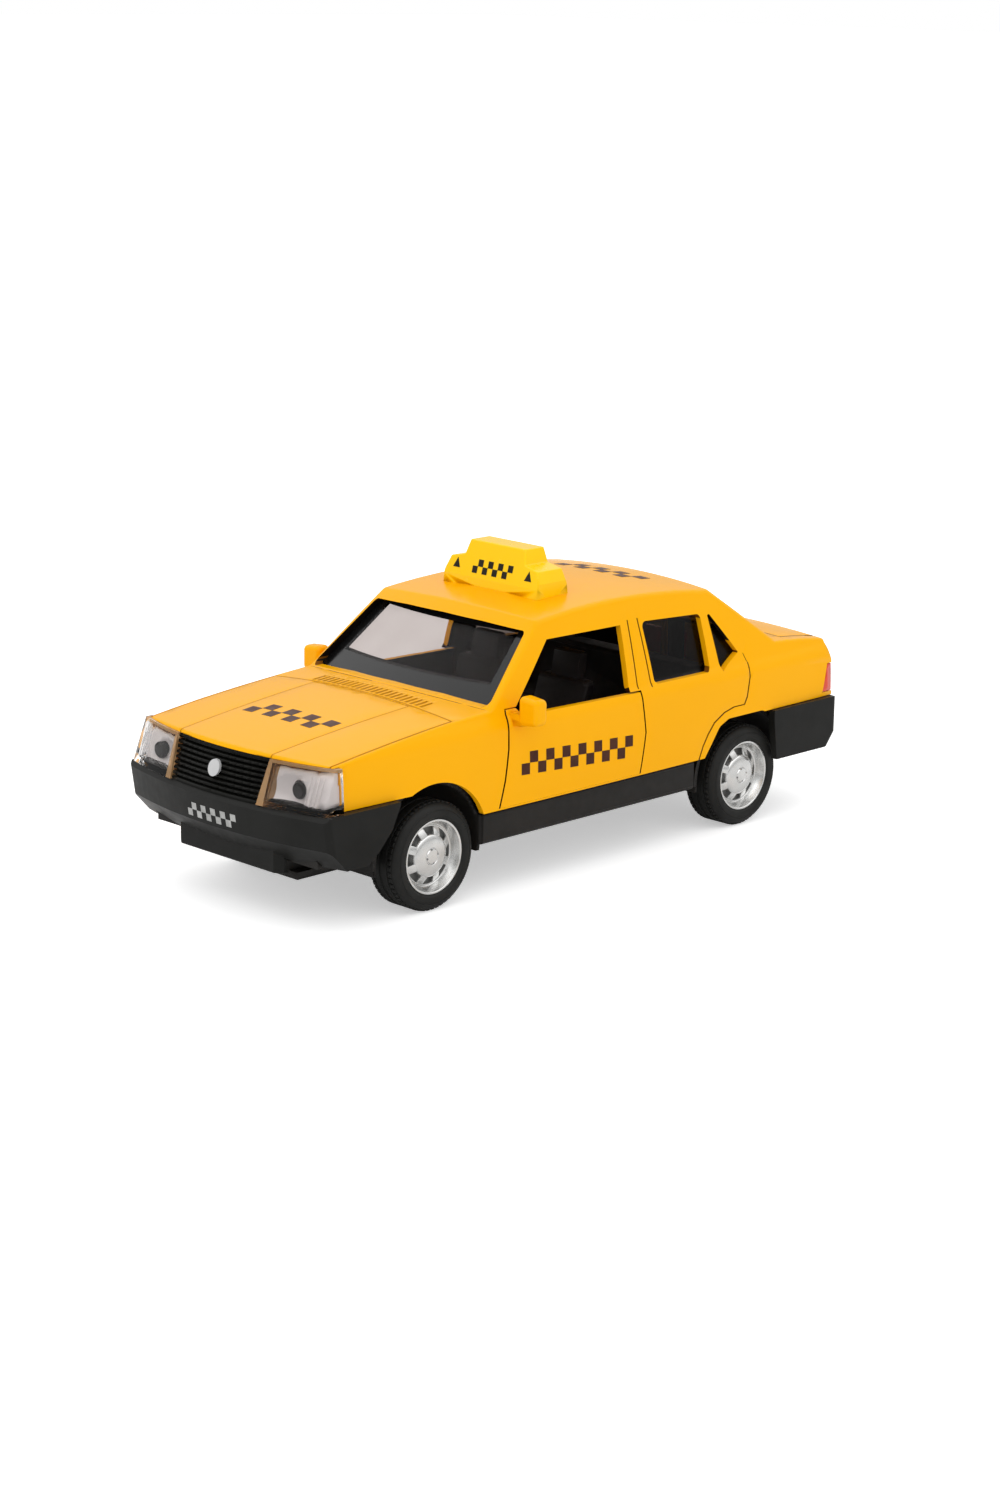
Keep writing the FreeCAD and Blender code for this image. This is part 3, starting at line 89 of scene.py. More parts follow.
def makeFinish(name, look):
    material = bpy.data.materials.new(name)
    material.use_nodes = True
    tree = material.node_tree
    shader = tree.nodes["Principled BSDF"]
    coords = addNode(tree, "ShaderNodeTexCoord")
    stretch = look.get("stretch")
    patches = noiseOf(tree, coords, look.get("patch", 0.12), 4.0, stretch)
    tree.links.new(rampOf(tree, patches, look["shade"], look["colour"]), shader.inputs["Base Color"])
    spread = addNode(tree, "ShaderNodeMapRange")
    for socket, value in zip(("From Min", "From Max", "To Min", "To Max"), (0.3, 0.7, *look["rough"])):
        spread.inputs[socket].default_value = value
    tree.links.new(noiseOf(tree, coords, look.get("wear", 0.5), 4.0, stretch), spread.inputs["Value"])
    tree.links.new(spread.outputs["Result"], shader.inputs["Roughness"])
    bump = addNode(tree, "ShaderNodeBump")
    bump.inputs["Strength"].default_value = look.get("bump", 0.1)
    bump.inputs["Distance"].default_value = look.get("depth", 0.02) * mm
    tree.links.new(noiseOf(tree, coords, look["grain"], 2.0, stretch), bump.inputs["Height"])
    tree.links.new(bump.outputs["Normal"], shader.inputs["Normal"])
    for socket, value in look.get("sockets", {}).items():
        shader.inputs[socket].default_value = value
    return material


finishes = {
    "yellowEnamel": {"colour": (0.97, 0.445, 0.001), "shade": (0.955, 0.435, 0.001), "patch": 0.03,
                     "rough": (0.20, 0.25), "grain": 0.15, "bump": 0.02, "depth": 0.02,
                     "sockets": {"Specular IOR Level": 0.08}},
    "blackMoulding": {"colour": (0.013, 0.013, 0.012), "shade": (0.009, 0.009, 0.008), "rough": (0.34, 0.44),
                      "grain": 6.0, "bump": 0.15, "depth": 0.01, "sockets": {"Specular IOR Level": 0.11}},
    "sillMoulding": {"colour": (0.014, 0.012, 0.010), "shade": (0.009, 0.008, 0.007), "rough": (0.4, 0.55),
                     "grain": 6.0, "bump": 0.2, "depth": 0.012, "sockets": {"Specular IOR Level": 0.2}},
    "cabinMoulding": {"colour": (0.012, 0.009, 0.008), "shade": (0.006, 0.005, 0.005), "rough": (0.45, 0.6),
                      "grain": 6.0, "bump": 0.3, "depth": 0.02, "sockets": {"Specular IOR Level": 0.15}},
    # Painted shade: near-black for unlit inside faces, dark brown for grooves and door gaps, a lighter brown
    # for the hood lines.
    "insideShade": {"colour": (0.010, 0.006, 0.004), "shade": (0.006, 0.004, 0.003), "rough": (0.5, 0.65),
                    "grain": 4.0, "bump": 0.3, "depth": 0.02, "sockets": {"Specular IOR Level": 0.1}},
    "grooveShade": {"colour": (0.22, 0.075, 0.001), "shade": (0.15, 0.050, 0.001), "rough": (0.5, 0.6),
                    "grain": 5.0, "bump": 0.1, "sockets": {"Specular IOR Level": 0.1}},
    "hoodLineShade": {"colour": (0.72, 0.30, 0.001), "shade": (0.62, 0.25, 0.001), "rough": (0.4, 0.5),
                      "grain": 5.0, "bump": 0.1, "sockets": {"Specular IOR Level": 0.1}},
    "gapShade": {"colour": (0.035, 0.009, 0.002), "shade": (0.022, 0.006, 0.001), "rough": (0.5, 0.6),
                 "grain": 5.0, "bump": 0.1, "sockets": {"Specular IOR Level": 0.1}},
    "grilleGloss": {"colour": (0.006, 0.006, 0.005), "shade": (0.004, 0.004, 0.003), "rough": (0.3, 0.4),
                    "grain": 5.0, "bump": 0.1, "depth": 0.01, "sockets": {"Specular IOR Level": 0.06}},
    "tyreRubber": {"colour": (0.015, 0.015, 0.014), "shade": (0.009, 0.009, 0.008), "rough": (0.5, 0.65),
                   "grain": 4.0, "bump": 0.3, "depth": 0.03, "sockets": {"Specular IOR Level": 0.2}},
    "rimSilver": {"colour": (0.70, 0.70, 0.69), "shade": (0.58, 0.58, 0.57), "patch": 0.3,
                  "rough": (0.18, 0.28), "grain": 3.0, "bump": 0.12, "depth": 0.012,
                  "sockets": {"Metallic": 0.85}},
    # Painted shade: dark grey for the drum seen through the rim's openings; the small notches by the cap take
    # it too.
    "rimShade": {"colour": (0.22, 0.22, 0.215), "shade": (0.14, 0.14, 0.135), "rough": (0.4, 0.55),
                 "grain": 4.0, "bump": 0.2, "sockets": {"Specular IOR Level": 0.2}},
    "drawnSteel": {"colour": (0.58, 0.57, 0.55), "shade": (0.42, 0.41, 0.40), "patch": 0.5,
                   "rough": (0.22, 0.4), "grain": 4.0, "bump": 0.2, "depth": 0.01, "stretch": (1, 6, 6),
                   "sockets": {"Metallic": 1.0}},
    "bareZinc": {"colour": (0.5, 0.5, 0.51), "shade": (0.36, 0.36, 0.37), "patch": 0.4, "rough": (0.3, 0.5),
                 "grain": 4.0, "bump": 0.3, "depth": 0.02, "sockets": {"Metallic": 1.0}},
    "clearGlazing": {"colour": (0.59, 0.53, 0.51), "shade": (0.55, 0.49, 0.47), "rough": (0.0, 0.02),
                     "wear": 0.1, "grain": 0.2, "bump": 0.02,
                     "sockets": {"Transmission Weight": 1.0, "IOR": 1.13}},
    "smokedGlazing": {"colour": (0.24, 0.22, 0.21), "shade": (0.21, 0.19, 0.18), "rough": (0.0, 0.02),
                      "wear": 0.1, "grain": 0.2, "bump": 0.02,
                      "sockets": {"Transmission Weight": 1.0, "IOR": 1.22}},
    "glazingBorder": {"colour": (0.006, 0.006, 0.006), "shade": (0.004, 0.004, 0.004), "rough": (0.12, 0.2),
                      "grain": 0.4, "bump": 0.03, "sockets": {"Specular IOR Level": 0.25}},
    "lampClear": {"colour": (0.97, 0.95, 0.94), "shade": (0.93, 0.91, 0.90), "rough": (0.02, 0.06),
                  "wear": 0.3, "grain": 0.5, "bump": 0.05,
                  "sockets": {"Transmission Weight": 1.0, "IOR": 1.3}},
    # Painted reflection: amber for the yellow body seen through the clear headlamp lens.
    "lampAmber": {"colour": (0.74, 0.47, 0.24), "shade": (0.58, 0.33, 0.14), "rough": (0.08, 0.16),
                  "grain": 0.8, "bump": 0.1, "sockets": {"Transmission Weight": 0.6, "IOR": 1.3}},
    "lampSilver": {"colour": (0.74, 0.71, 0.71), "shade": (0.62, 0.59, 0.59), "rough": (0.3, 0.42),
                   "grain": 2.0, "bump": 0.1, "sockets": {"Metallic": 0.2}},
    # Painted shade: near-black for the plug that darkens the hole in each reflector bowl.
    "lampPlug": {"colour": (0.012, 0.011, 0.011), "shade": (0.007, 0.006, 0.006), "rough": (0.4, 0.5),
                 "grain": 2.0, "bump": 0.1, "sockets": {"Specular IOR Level": 0.2}},
    "lampRed": {"colour": (0.86, 0.075, 0.014), "shade": (0.70, 0.045, 0.009), "rough": (0.08, 0.16),
                "grain": 1.0, "bump": 0.15, "sockets": {"Specular IOR Level": 0.3, "Coat Weight": 0.3}},
    "signYellow": {"colour": (0.98, 0.63, 0.0), "shade": (0.955, 0.60, 0.0), "rough": (0.2, 0.28),
                   "patch": 0.05, "grain": 0.3, "bump": 0.02, "sockets": {"Specular IOR Level": 0.2}},
    "gearAcetal": {"colour": (0.78, 0.77, 0.70), "shade": (0.70, 0.69, 0.62), "rough": (0.4, 0.52),
                   "grain": 4.0},
    "badgeSilver": {"colour": (0.62, 0.62, 0.62), "shade": (0.50, 0.50, 0.50), "rough": (0.3, 0.4),
                    "grain": 4.0, "sockets": {"Metallic": 0.4}},
    "brownInk": {"colour": (0.070, 0.020, 0.007), "shade": (0.048, 0.013, 0.005), "rough": (0.35, 0.5),
                 "patch": 0.6, "grain": 5.0, "sockets": {"Specular IOR Level": 0.15}},
    "blackInk": {"colour": (0.016, 0.014, 0.008), "shade": (0.010, 0.009, 0.005), "rough": (0.35, 0.5),
                 "patch": 0.6, "grain": 5.0, "sockets": {"Specular IOR Level": 0.15}},
    "greyInk": {"colour": (0.46, 0.46, 0.45), "shade": (0.34, 0.34, 0.33), "rough": (0.45, 0.6),
                "patch": 0.8, "grain": 5.0, "sockets": {"Specular IOR Level": 0.15}},
}
paint = {name: makeFinish(name, look) for name, look in finishes.items()}
print("finishes:", len(paint))

paintOfSlot = {
    "yellow_enamel": "yellowEnamel", "black_plastic": "blackMoulding", "cabin_plastic": "cabinMoulding",
    "tyre_rubber": "tyreRubber", "rim_plastic": "rimSilver", "steel": "drawnSteel", "zinc": "bareZinc",
    "clear_glazing": "clearGlazing", "lamp_clear": "lampClear", "lamp_silver": "lampSilver",
    "lamp_red": "lampRed", "sign_plastic": "signYellow", "gear_plastic": "gearAcetal",
    "motor_plastic": "blackMoulding", "badge_silver": "badgeSilver",
}
sharpOfNode = {"front_bumper": 8, "rear_bumper": 8}
paintOfNode = {"grille": "grilleGloss", "chassis_base": "sillMoulding", "rear_glazing": "smokedGlazing"}


# Meshes: lathed rings, plain lists of faces, and several meshes welded into one piece.

def outward(mesh):
    work = bmesh.new()
    work.from_mesh(mesh)
    bmesh.ops.recalc_face_normals(work, faces=work.faces)
    work.to_mesh(mesh)
    work.free()
    return mesh


def smoothed(mesh, sharpAngle=usualSharp):
    mesh.shade_smooth()
    mesh.set_sharp_from_angle(angle=math.radians(sharpAngle))
    return mesh


def lathe(name, profile, segments=96, shades=("tyreRubber",)):
    # The profile is a closed loop of x and radius in millimetres; a zero radius closes on the axis.
    points, rings = [], []
    for x, radius in profile:
        if radius == 0:
            rings.append([len(points)] * segments)
            points.append((x * mm, 0, 0))
        else:
            rings.append([len(points) + step for step in range(segments)])
            points += [(x * mm, radius * mm * math.cos(turn), radius * mm * math.sin(turn))
                       for turn in (2 * math.pi * step / segments for step in range(segments))]
    faces = []
    for first, second in zip(rings, rings[1:] + rings[:1]):
        for step in range(segments):
            after = (step + 1) % segments
            corners = list(dict.fromkeys((first[step], first[after], second[after], second[step])))
            if len(corners) > 2:
                faces.append(corners)
    mesh = bpy.data.meshes.new(name)
    mesh.from_pydata(points, [], faces)
    for shade in shades:
        mesh.materials.append(paint[shade])
    return outward(mesh)


def joined(name, meshes, shades):
    work = bmesh.new()
    for mesh, shade in zip(meshes, shades):
        known = len(work.faces)
        work.from_mesh(mesh)
        work.faces.ensure_lookup_table()
        for face in work.faces[known:]:
            face.material_index = list(dict.fromkeys(shades)).index(shade)
    result = bpy.data.meshes.new(name)
    work.to_mesh(result)
    work.free()
    for shade in dict.fromkeys(shades):
        result.materials.append(paint[shade])
    return result


def placed(mesh, matrix):
    result = mesh.copy()
    result.transform(matrix)
    if matrix.determinant() < 0:
        result.flip_normals()
    return result


def pieceFrom(name, mesh, body, replaced=()):
    piece = bpy.data.objects.new(name, mesh)
    scene.collection.objects.link(piece)
    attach(piece, body)
    if replaced:
        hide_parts(*replaced)
    return piece


def camel(nodeName):
    words = nodeName.split("_")
    return words[0] + "".join(word.capitalize() for word in words[1:])


# Copies of one block set round an axle along X, made by a Geometry Nodes tree.

def aroundAxleTree():
    tree = bpy.data.node_groups.new("aroundAxle", "GeometryNodeTree")
    panel = tree.interface
    panel.new_socket("Block", in_out="INPUT", socket_type="NodeSocketGeometry")
    sockets = {name: panel.new_socket(name, in_out="INPUT", socket_type=kind) for name, kind in (
        ("Count", "NodeSocketInt"), ("Radius", "NodeSocketFloat"), ("Phase", "NodeSocketFloat"),
        ("Unevenness", "NodeSocketFloat"), ("Seed", "NodeSocketInt"), ("Finish", "NodeSocketMaterial"))}
    panel.new_socket("Ring", in_out="OUTPUT", socket_type="NodeSocketGeometry")
    given = tree.nodes.new("NodeGroupInput")
    result = tree.nodes.new("NodeGroupOutput")

    def calc(operation, first, second):
        node = addNode(tree, "ShaderNodeMath", operation=operation)
        for socket, value in zip(node.inputs, (first, second)):
            if isinstance(value, (int, float)):
                socket.default_value = value
            elif value is not None:
                tree.links.new(value, socket)
        return node.outputs[0]

    spots = tree.nodes.new("GeometryNodePoints")
    tree.links.new(given.outputs["Count"], spots.inputs["Count"])
    index = tree.nodes.new("GeometryNodeInputIndex").outputs[0]
    share = calc("DIVIDE", index, given.outputs["Count"])
    turn = calc("ADD", calc("MULTIPLY", share, 2 * math.pi), given.outputs["Phase"])
    spot = tree.nodes.new("ShaderNodeCombineXYZ")
    tree.links.new(calc("MULTIPLY", calc("COSINE", turn, None), given.outputs["Radius"]), spot.inputs["Y"])
    tree.links.new(calc("MULTIPLY", calc("SINE", turn, None), given.outputs["Radius"]), spot.inputs["Z"])
    tree.links.new(spot.outputs[0], spots.inputs["Position"])
    spin = tree.nodes.new("ShaderNodeCombineXYZ")
    tree.links.new(turn, spin.inputs["X"])
    chance = addNode(tree, "FunctionNodeRandomValue", data_type="FLOAT")
    tree.links.new(given.outputs["Seed"], chance.inputs["Seed"])
    floats = [socket for socket in chance.inputs if socket.type == "VALUE"]
    tree.links.new(calc("SUBTRACT", 1.0, given.outputs["Unevenness"]), floats[0])
    floats[1].default_value = 1.0
    number = next(socket for socket in chance.outputs if socket.type == "VALUE")
    placing = tree.nodes.new("GeometryNodeInstanceOnPoints")
    tree.links.new(spots.outputs[0], placing.inputs["Points"])
    tree.links.new(given.outputs["Block"], placing.inputs["Instance"])
    tree.links.new(spin.outputs[0], placing.inputs["Rotation"])
    tree.links.new(number, placing.inputs["Scale"])
    real = tree.nodes.new("GeometryNodeRealizeInstances")
    tree.links.new(placing.outputs[0], real.inputs[0])
    shade = tree.nodes.new("GeometryNodeSetMaterial")
    tree.links.new(real.outputs[0], shade.inputs["Geometry"])
    tree.links.new(given.outputs["Finish"], shade.inputs["Material"])
    tree.links.new(shade.outputs[0], result.inputs["Ring"])
    return tree, {name: socket.identifier for name, socket in sockets.items()}


ringTree, ringSockets = aroundAxleTree()


def blockMesh(name, low, high, lean=0.0, bevel=0.0):
    # A block between two corners in millimetres; lean lowers its outer end along X.
    work = bmesh.new()
    bmesh.ops.create_cube(work, size=1)
    for vert in work.verts:
        spot = [low[axis] + (vert.co[axis] + 0.5) * (high[axis] - low[axis]) for axis in range(3)]
        spot[0] -= lean * spot[1]
        vert.co = Vector(spot) * mm
    if bevel:
        bmesh.ops.bevel(work, geom=work.edges[:], offset=bevel * mm, segments=2, affect="EDGES", profile=0.5)
    bmesh.ops.recalc_face_normals(work, faces=work.faces)
    mesh = bpy.data.meshes.new(name)
    work.to_mesh(mesh)
    work.free()
    return mesh


def ringOf(name, block, shade, **settings):
    holder = bpy.data.objects.new(name + "Maker", block)
    scene.collection.objects.link(holder)
    maker = holder.modifiers.new("aroundAxle", "NODES")
    maker.node_group = ringTree
    for key, value in settings.items():
        maker[ringSockets[key.capitalize()]] = value
    maker[ringSockets["Finish"]] = paint[shade]
    view = bpy.context.evaluated_depsgraph_get()
    view.update()
    mesh = bpy.data.meshes.new_from_object(holder.evaluated_get(view))
    mesh.name = name
    holder.modifiers.remove(maker)
    bpy.data.objects.remove(holder)
    return mesh


# Tyres: a lathed carcass with bead rings on the wall and blocks on both shoulders of the tread.

def boxOf(nodeName):
    low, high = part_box(nodeName)
    return Vector(low) / mm, Vector(high) / mm


tyreLow, tyreHigh = boxOf("tyre_front_left")
tyre = {"half": (tyreHigh.x - tyreLow.x) / 2, "ribEdge": 1.5, "ribTop": 9.28, "ribFoot": 9.05,
        "grooveHalf": 0.3, "ribChamfer": 0.06, "segments": 120, "sharp": 28,
        "blockLow": (-0.36, -0.16, -0.38), "blockHigh": (0.36, 0.1, 0.38), "blockBevel": 0.05,
        "blockInset": 1.42, "blocks": 56, "blockRadius": 9.18, "unevenness": 0.004, "seed": 7}
tyreWall = [(0.52, 6.36), (0.44, 6.5), (0.24, 6.68), (0.16, 6.76), (0.12, 6.9), (0.02, 7.5), (0.06, 7.8),
            (0.14, 7.86), (0.14, 7.94), (0.08, 8.0), (0.22, 8.35), (0.46, 8.68), (0.78, 8.96), (1.0, 9.06)]
wallFront = [(tyre["half"] - inset, radius) for inset, radius in tyreWall]
rib = [(tyre["ribEdge"] + tyre["ribChamfer"], tyre["ribFoot"]), (tyre["ribEdge"], tyre["ribTop"]),
       (tyre["grooveHalf"] + tyre["ribChamfer"], tyre["ribTop"]), (tyre["grooveHalf"], tyre["ribFoot"])]
halfOutline = wallFront + rib
farOutline = [(-x, radius) for x, radius in reversed(halfOutline)]
carcass = lathe("carcass", halfOutline + farOutline, tyre["segments"])
treadBlock = blockMesh("treadBlock", tyre["blockLow"], tyre["blockHigh"], bevel=tyre["blockBevel"])
blockRow = ringOf("blockRow", treadBlock, "tyreRubber", count=tyre["blocks"], radius=tyre["blockRadius"] * mm,
                  phase=0.0, unevenness=tyre["unevenness"], seed=tyre["seed"])
blockSpot = tyre["half"] - tyre["blockInset"]
rows = [placed(blockRow, Matrix.Translation((side * blockSpot * mm, 0, 0)) @
               Matrix.Rotation(0.5 * (side + 1) * math.pi / tyre["blocks"], 4, "X")) for side in (-1, 1)]
tyreMesh = smoothed(joined("tyreMesh", [carcass] + rows, ["tyreRubber"] * 3), tyre["sharp"])
print("tyre faces:", len(tyreMesh.polygons))

# Rims: a bright barrel, a domed disc with a cap, and eight bridges that leave eight openings between them; a
# dark drum of painted shade shows through the openings.

rim = {"barrel": [(-5.75, 6.34), (-0.1, 6.34), (-0.02, 6.3), (0.0, 6.2), (-0.01, 6.08), (-0.08, 5.98),
                  (-0.3, 5.9), (-1.35, 5.46), (-1.62, 5.3), (-1.68, 5.2), (-1.6, 5.12), (-1.5, 5.02),
                  (-1.54, 4.9), (-1.7, 4.84), (-2.6, 4.84), (-2.7, 5.2), (-5.75, 5.7)],
       "disc": [(-0.3, 0), (-0.3, 0.9), (-0.34, 1.2), (-0.48, 1.28), (-0.52, 1.38), (-0.44, 1.5),
                (-0.48, 2.0), (-0.58, 2.8), (-0.72, 3.3), (-0.84, 3.5), (-1.0, 3.62), (-1.2, 3.66),
                (-2.6, 3.66), (-2.6, 0)],
       "drum": [(-2.3, 3.5), (-2.3, 5.0), (-2.8, 5.0), (-2.8, 3.5)],
       "bridgeLow": (-0.35, -0.76, -0.72), "bridgeHigh": (0.12, 0.7, 0.72), "bridgeLean": 0.5,
       "bridgeSpot": -1.3, "bridges": 8, "bridgeRadius": 4.26, "bridgeBevel": 0.08, "bridgeTurn": 22.5,
       "bridgeSeed": 3,
       "notchLow": (-0.1, -0.1, -0.16), "notchHigh": (0.05, 0.16, 0.16), "notchBevel": 0.03, "notches": 4,
       "notchRadius": 1.16, "notchDepth": -0.34, "notchTurn": 12, "notchUnevenness": 0.1, "notchSeed": 5,
       "barrelSegments": 120, "discSegments": 96, "drumSegments": 64, "sharp": 26}
barrel = lathe("barrel", rim["barrel"], rim["barrelSegments"])
disc = lathe("disc", rim["disc"], rim["discSegments"])
drum = lathe("drum", rim["drum"], rim["drumSegments"])
bridgeBlock = blockMesh("bridgeBlock", rim["bridgeLow"], rim["bridgeHigh"], lean=rim["bridgeLean"],
                        bevel=rim["bridgeBevel"])
bridges = placed(ringOf("bridges", bridgeBlock, "rimSilver", count=rim["bridges"],
                        radius=rim["bridgeRadius"] * mm, phase=math.radians(rim["bridgeTurn"]),
                        unevenness=0.0, seed=rim["bridgeSeed"]),
                 Matrix.Translation((rim["bridgeSpot"] * mm, 0, 0)))
notchBlock = blockMesh("notchBlock", rim["notchLow"], rim["notchHigh"], bevel=rim["notchBevel"])
notches = placed(ringOf("notches", notchBlock, "rimShade", count=rim["notches"],
                        radius=rim["notchRadius"] * mm, phase=math.radians(rim["notchTurn"]),
                        unevenness=rim["notchUnevenness"], seed=rim["notchSeed"]),
                 Matrix.Translation((rim["notchDepth"] * mm, 0, 0)))
rimShades = ["rimSilver", "rimSilver", "rimShade", "rimSilver", "rimShade"]
rimMesh = smoothed(joined("rimMesh", [barrel, disc, drum, bridges, notches], rimShades), rim["sharp"])
print("rim faces:", len(rimMesh.polygons))

rebuilt = []
for end in ("front", "rear"):
    for side, sign in sides.items():
        tyreNode, rimNode = f"tyre_{end}_{side}", f"rim_{end}_{side}"
        low, high = boxOf(tyreNode)
        middle = (low + high) / 2
        flip = Matrix.Diagonal((sign, 1, 1, 1))
        pieceFrom(camel(tyreNode), placed(tyreMesh, Matrix.Translation(middle * mm) @ flip), bodyOf[tyreNode],
                  (tyreNode,))
        rimLow, rimHigh = boxOf(rimNode)
        lip = Vector((rimHigh.x if sign > 0 else rimLow.x, middle.y, middle.z))
        pieceFrom(camel(rimNode), placed(rimMesh, Matrix.Translation(lip * mm) @ flip), bodyOf[rimNode],
                  (rimNode,))
        rebuilt += [tyreNode, rimNode]
print("wheels done")


# The other nodes keep their shape: merged copies with even shading and, where needed, a second finish, which
# on some is painted shade or a painted reflection.

weldGap = 0.0005

def mergedMesh(nodeName, shades, sharpAngle):
    mesh = frame["nodes"][nodeName].data.copy()
    work = bmesh.new()
    work.from_mesh(mesh)
    bmesh.ops.remove_doubles(work, verts=work.verts, dist=weldGap * mm)
    work.to_mesh(mesh)
    work.free()
    mesh.materials.clear()
    for shade in shades:
        mesh.materials.append(paint[shade])
    return smoothed(mesh, sharpAngle)


def treeOf(mesh):
    work = bmesh.new()
    work.from_mesh(mesh)
    tree = BVHTree.FromBMesh(work)
    work.free()
    return tree


engraving = {"reach": 0.75, "clear": 0.01, "lift": 0.08, "leastEdge": 0.3}


def inGroove(tree, face, mesh):
    # Walls face each other across a groove; its floor has a wall close by on both sides.
    reach = engraving["reach"] * mm
    start = face.center + face.normal * engraving["clear"] * mm
    if tree.ray_cast(start, face.normal, reach)[0]:
        return True
    corners = [mesh.vertices[index].co for index in face.vertices]
    along = max((second - first for first, second in zip(corners, corners[1:] + corners[:1])),
                key=lambda edge: edge.length)
    if along.length < engraving["leastEdge"] * mm:
        return False
    across = face.normal.cross(along).normalized()
    raised = face.center + face.normal * engraving["lift"] * mm
    return all(tree.ray_cast(raised, across * way, reach)[0] for way in (-1, 1))


# A face's finish is picked from where it lies, in millimetres, and from how squarely it faces a way.
squarely = 0.5
shell = {"hoodBack": -27, "hoodFoot": 27, "cabinMiddle": 26, "insideTop": 44, "insideTurn": 0.25,
         "doorSide": 20, "doorTop": 30.5, "doorFront": -24.8, "doorBack": 12.6}
door = {"sill": 29, "innerSide": 22}


# Painted shade: faces turned into the cabin take near-black, groove faces dark brown with a lighter brown on
# the hood, and the walls of the door openings dark brown.
def shellShade(face, mesh, tree):
    spot = face.center / mm
    if inGroove(tree, face, mesh):
        return 4 if spot.y < shell["hoodBack"] and spot.z > shell["hoodFoot"] else 2
    inward = Vector((-spot.x, 0, shell["cabinMiddle"] - spot.z)).normalized()
    if spot.z < shell["insideTop"] and face.normal.dot(inward) > shell["insideTurn"]:
        return 1
    besideDoor = abs(spot.x) > shell["doorSide"] and shell["doorFront"] < spot.y < shell["doorBack"]
    return 3 if besideDoor and spot.z < shell["doorTop"] and abs(face.normal.x) < squarely else 0


# Painted shade: the door's inner face takes near-black, and its edge faces take the dark brown of the gap.
def doorShade(face, mesh, tree):
    facing = face.normal.x * (1 if face.center.x > 0 else -1)
    onSill = face.normal.z > squarely and face.center.z > door["sill"] * mm
    if facing > squarely or onSill:
        return 0
    return 1 if facing < -squarely or abs(face.center.x) < door["innerSide"] * mm else 2


border = {"side": 18.4, "sideAt": 33, "lean": 0.26, "foot": 34.9, "head": 42.2}


def paneShade(face, mesh, tree):
    spot = face.center / mm
    beside = abs(spot.x) > border["side"] - border["lean"] * (spot.z - border["sideAt"])
    return 1 if beside or not border["foot"] < spot.z < border["head"] else 0


def paneCuts():
    slope = Vector((1, 0, border["lean"])).normalized()
    edge = Vector((border["side"], 0, border["sideAt"])) * mm
    return [(edge, slope), (Vector((-edge.x, 0, edge.z)), Vector((-slope.x, 0, slope.z))),
            (Vector((0, 0, border["foot"] * mm)), Vector((0, 0, 1))),
            (Vector((0, 0, border["head"] * mm)), Vector((0, 0, 1)))]


lamp = {"amberTo": 12.7, "lensAmberTo": 12.1, "lensAmberFrom": 27.75, "plugX": 17.1, "plugZ": 23.9,
        "plugSegments": 40, "bowlUp": 1.6, "ribFrom": 19.9, "ribStep": 0.75, "ribs": 4, "ribHalf": 0.11,
        "ribHeight": 2.3, "ribZ": 24.4}


# Painted reflection: the inner part of each bowl and of each lens, and the lens's top edge, take amber,
# standing for the yellow body seen through the clear lens.
def reflectorShade(face, mesh, tree):
    return 1 if abs(face.center.x) < lamp["amberTo"] * mm else 0


def lensShade(face, mesh, tree):
    beside = abs(face.center.x) < lamp["lensAmberTo"] * mm
    return 1 if beside or face.center.z > lamp["lensAmberFrom"] * mm else 0


def upright(x):
    return (Vector((x * mm, 0, 0)), Vector((1, 0, 0)))


# What a node gets besides its own finish: finishes, painted shade and painted reflection among them, the rule
# that picks one for a face, and where it is cut.
manyTone = {
    "body_shell": (("yellowEnamel", "insideShade", "grooveShade", "gapShade", "hoodLineShade"),
                   shellShade, []),
    "windscreen": (("clearGlazing", "glazingBorder"), paneShade, paneCuts()),
}
for side, sign in sides.items():
    lensCuts = [upright(sign * lamp["lensAmberTo"]),
                (Vector((0, 0, lamp["lensAmberFrom"] * mm)), Vector((0, 0, 1)))]
    manyTone[f"door_panel_{side}"] = (("yellowEnamel", "insideShade", "gapShade"), doorShade, [])
    manyTone[f"headlamp_reflector_{side}"] = (("lampSilver", "lampAmber"), reflectorShade,
                                              [upright(sign * lamp["amberTo"])])
    manyTone[f"headlamp_lens_{side}"] = (("lampClear", "lampAmber"), lensShade, lensCuts)


def cutMesh(mesh, cuts):
    work = bmesh.new()
    work.from_mesh(mesh)
    for spot, normal in cuts:
        bmesh.ops.bisect_plane(work, geom=work.verts[:] + work.edges[:] + work.faces[:], plane_co=spot,
                               plane_no=normal)
    work.to_mesh(mesh)
    work.free()


for nodeName in sorted(set(bodyOf) - set(rebuilt)):
    ownShade = paintOfNode.get(nodeName) or paintOfSlot[slotOf[nodeName]]
    shades, rule, cuts = manyTone.get(nodeName, ((ownShade,), None, []))
    mesh = mergedMesh(nodeName, shades, sharpOfNode.get(nodeName, usualSharp))
    if rule:
        tree = treeOf(mesh)
        cutMesh(mesh, cuts)
        for face in mesh.polygons:
            face.material_index = rule(face, mesh, tree)
    piece = pieceFrom(camel(nodeName), mesh, bodyOf[nodeName], (nodeName,))
    piece.modifiers.new("evenShading", "WEIGHTED_NORMAL").keep_sharp = True
print("kept nodes:", len(bodyOf) - len(rebuilt))

# Prints: thin films of ink laid on a surface by casting every corner onto it.

surfaces = {name: treeOf(frame["nodes"][name].data)
            for name in ("body_shell", "door_panel_left", "door_panel_right", "roof_sign", "front_bumper",
                         "headlamp_lens_left", "headlamp_lens_right", "headlamp_reflector_left",
                         "headlamp_reflector_right")}
film = {"lift": 0.035, "sink": 0.03, "steps": 3, "weld": 0.001, "slab": 1.0}
castFrom = {"side": 40, "above": 60, "ahead": -90}


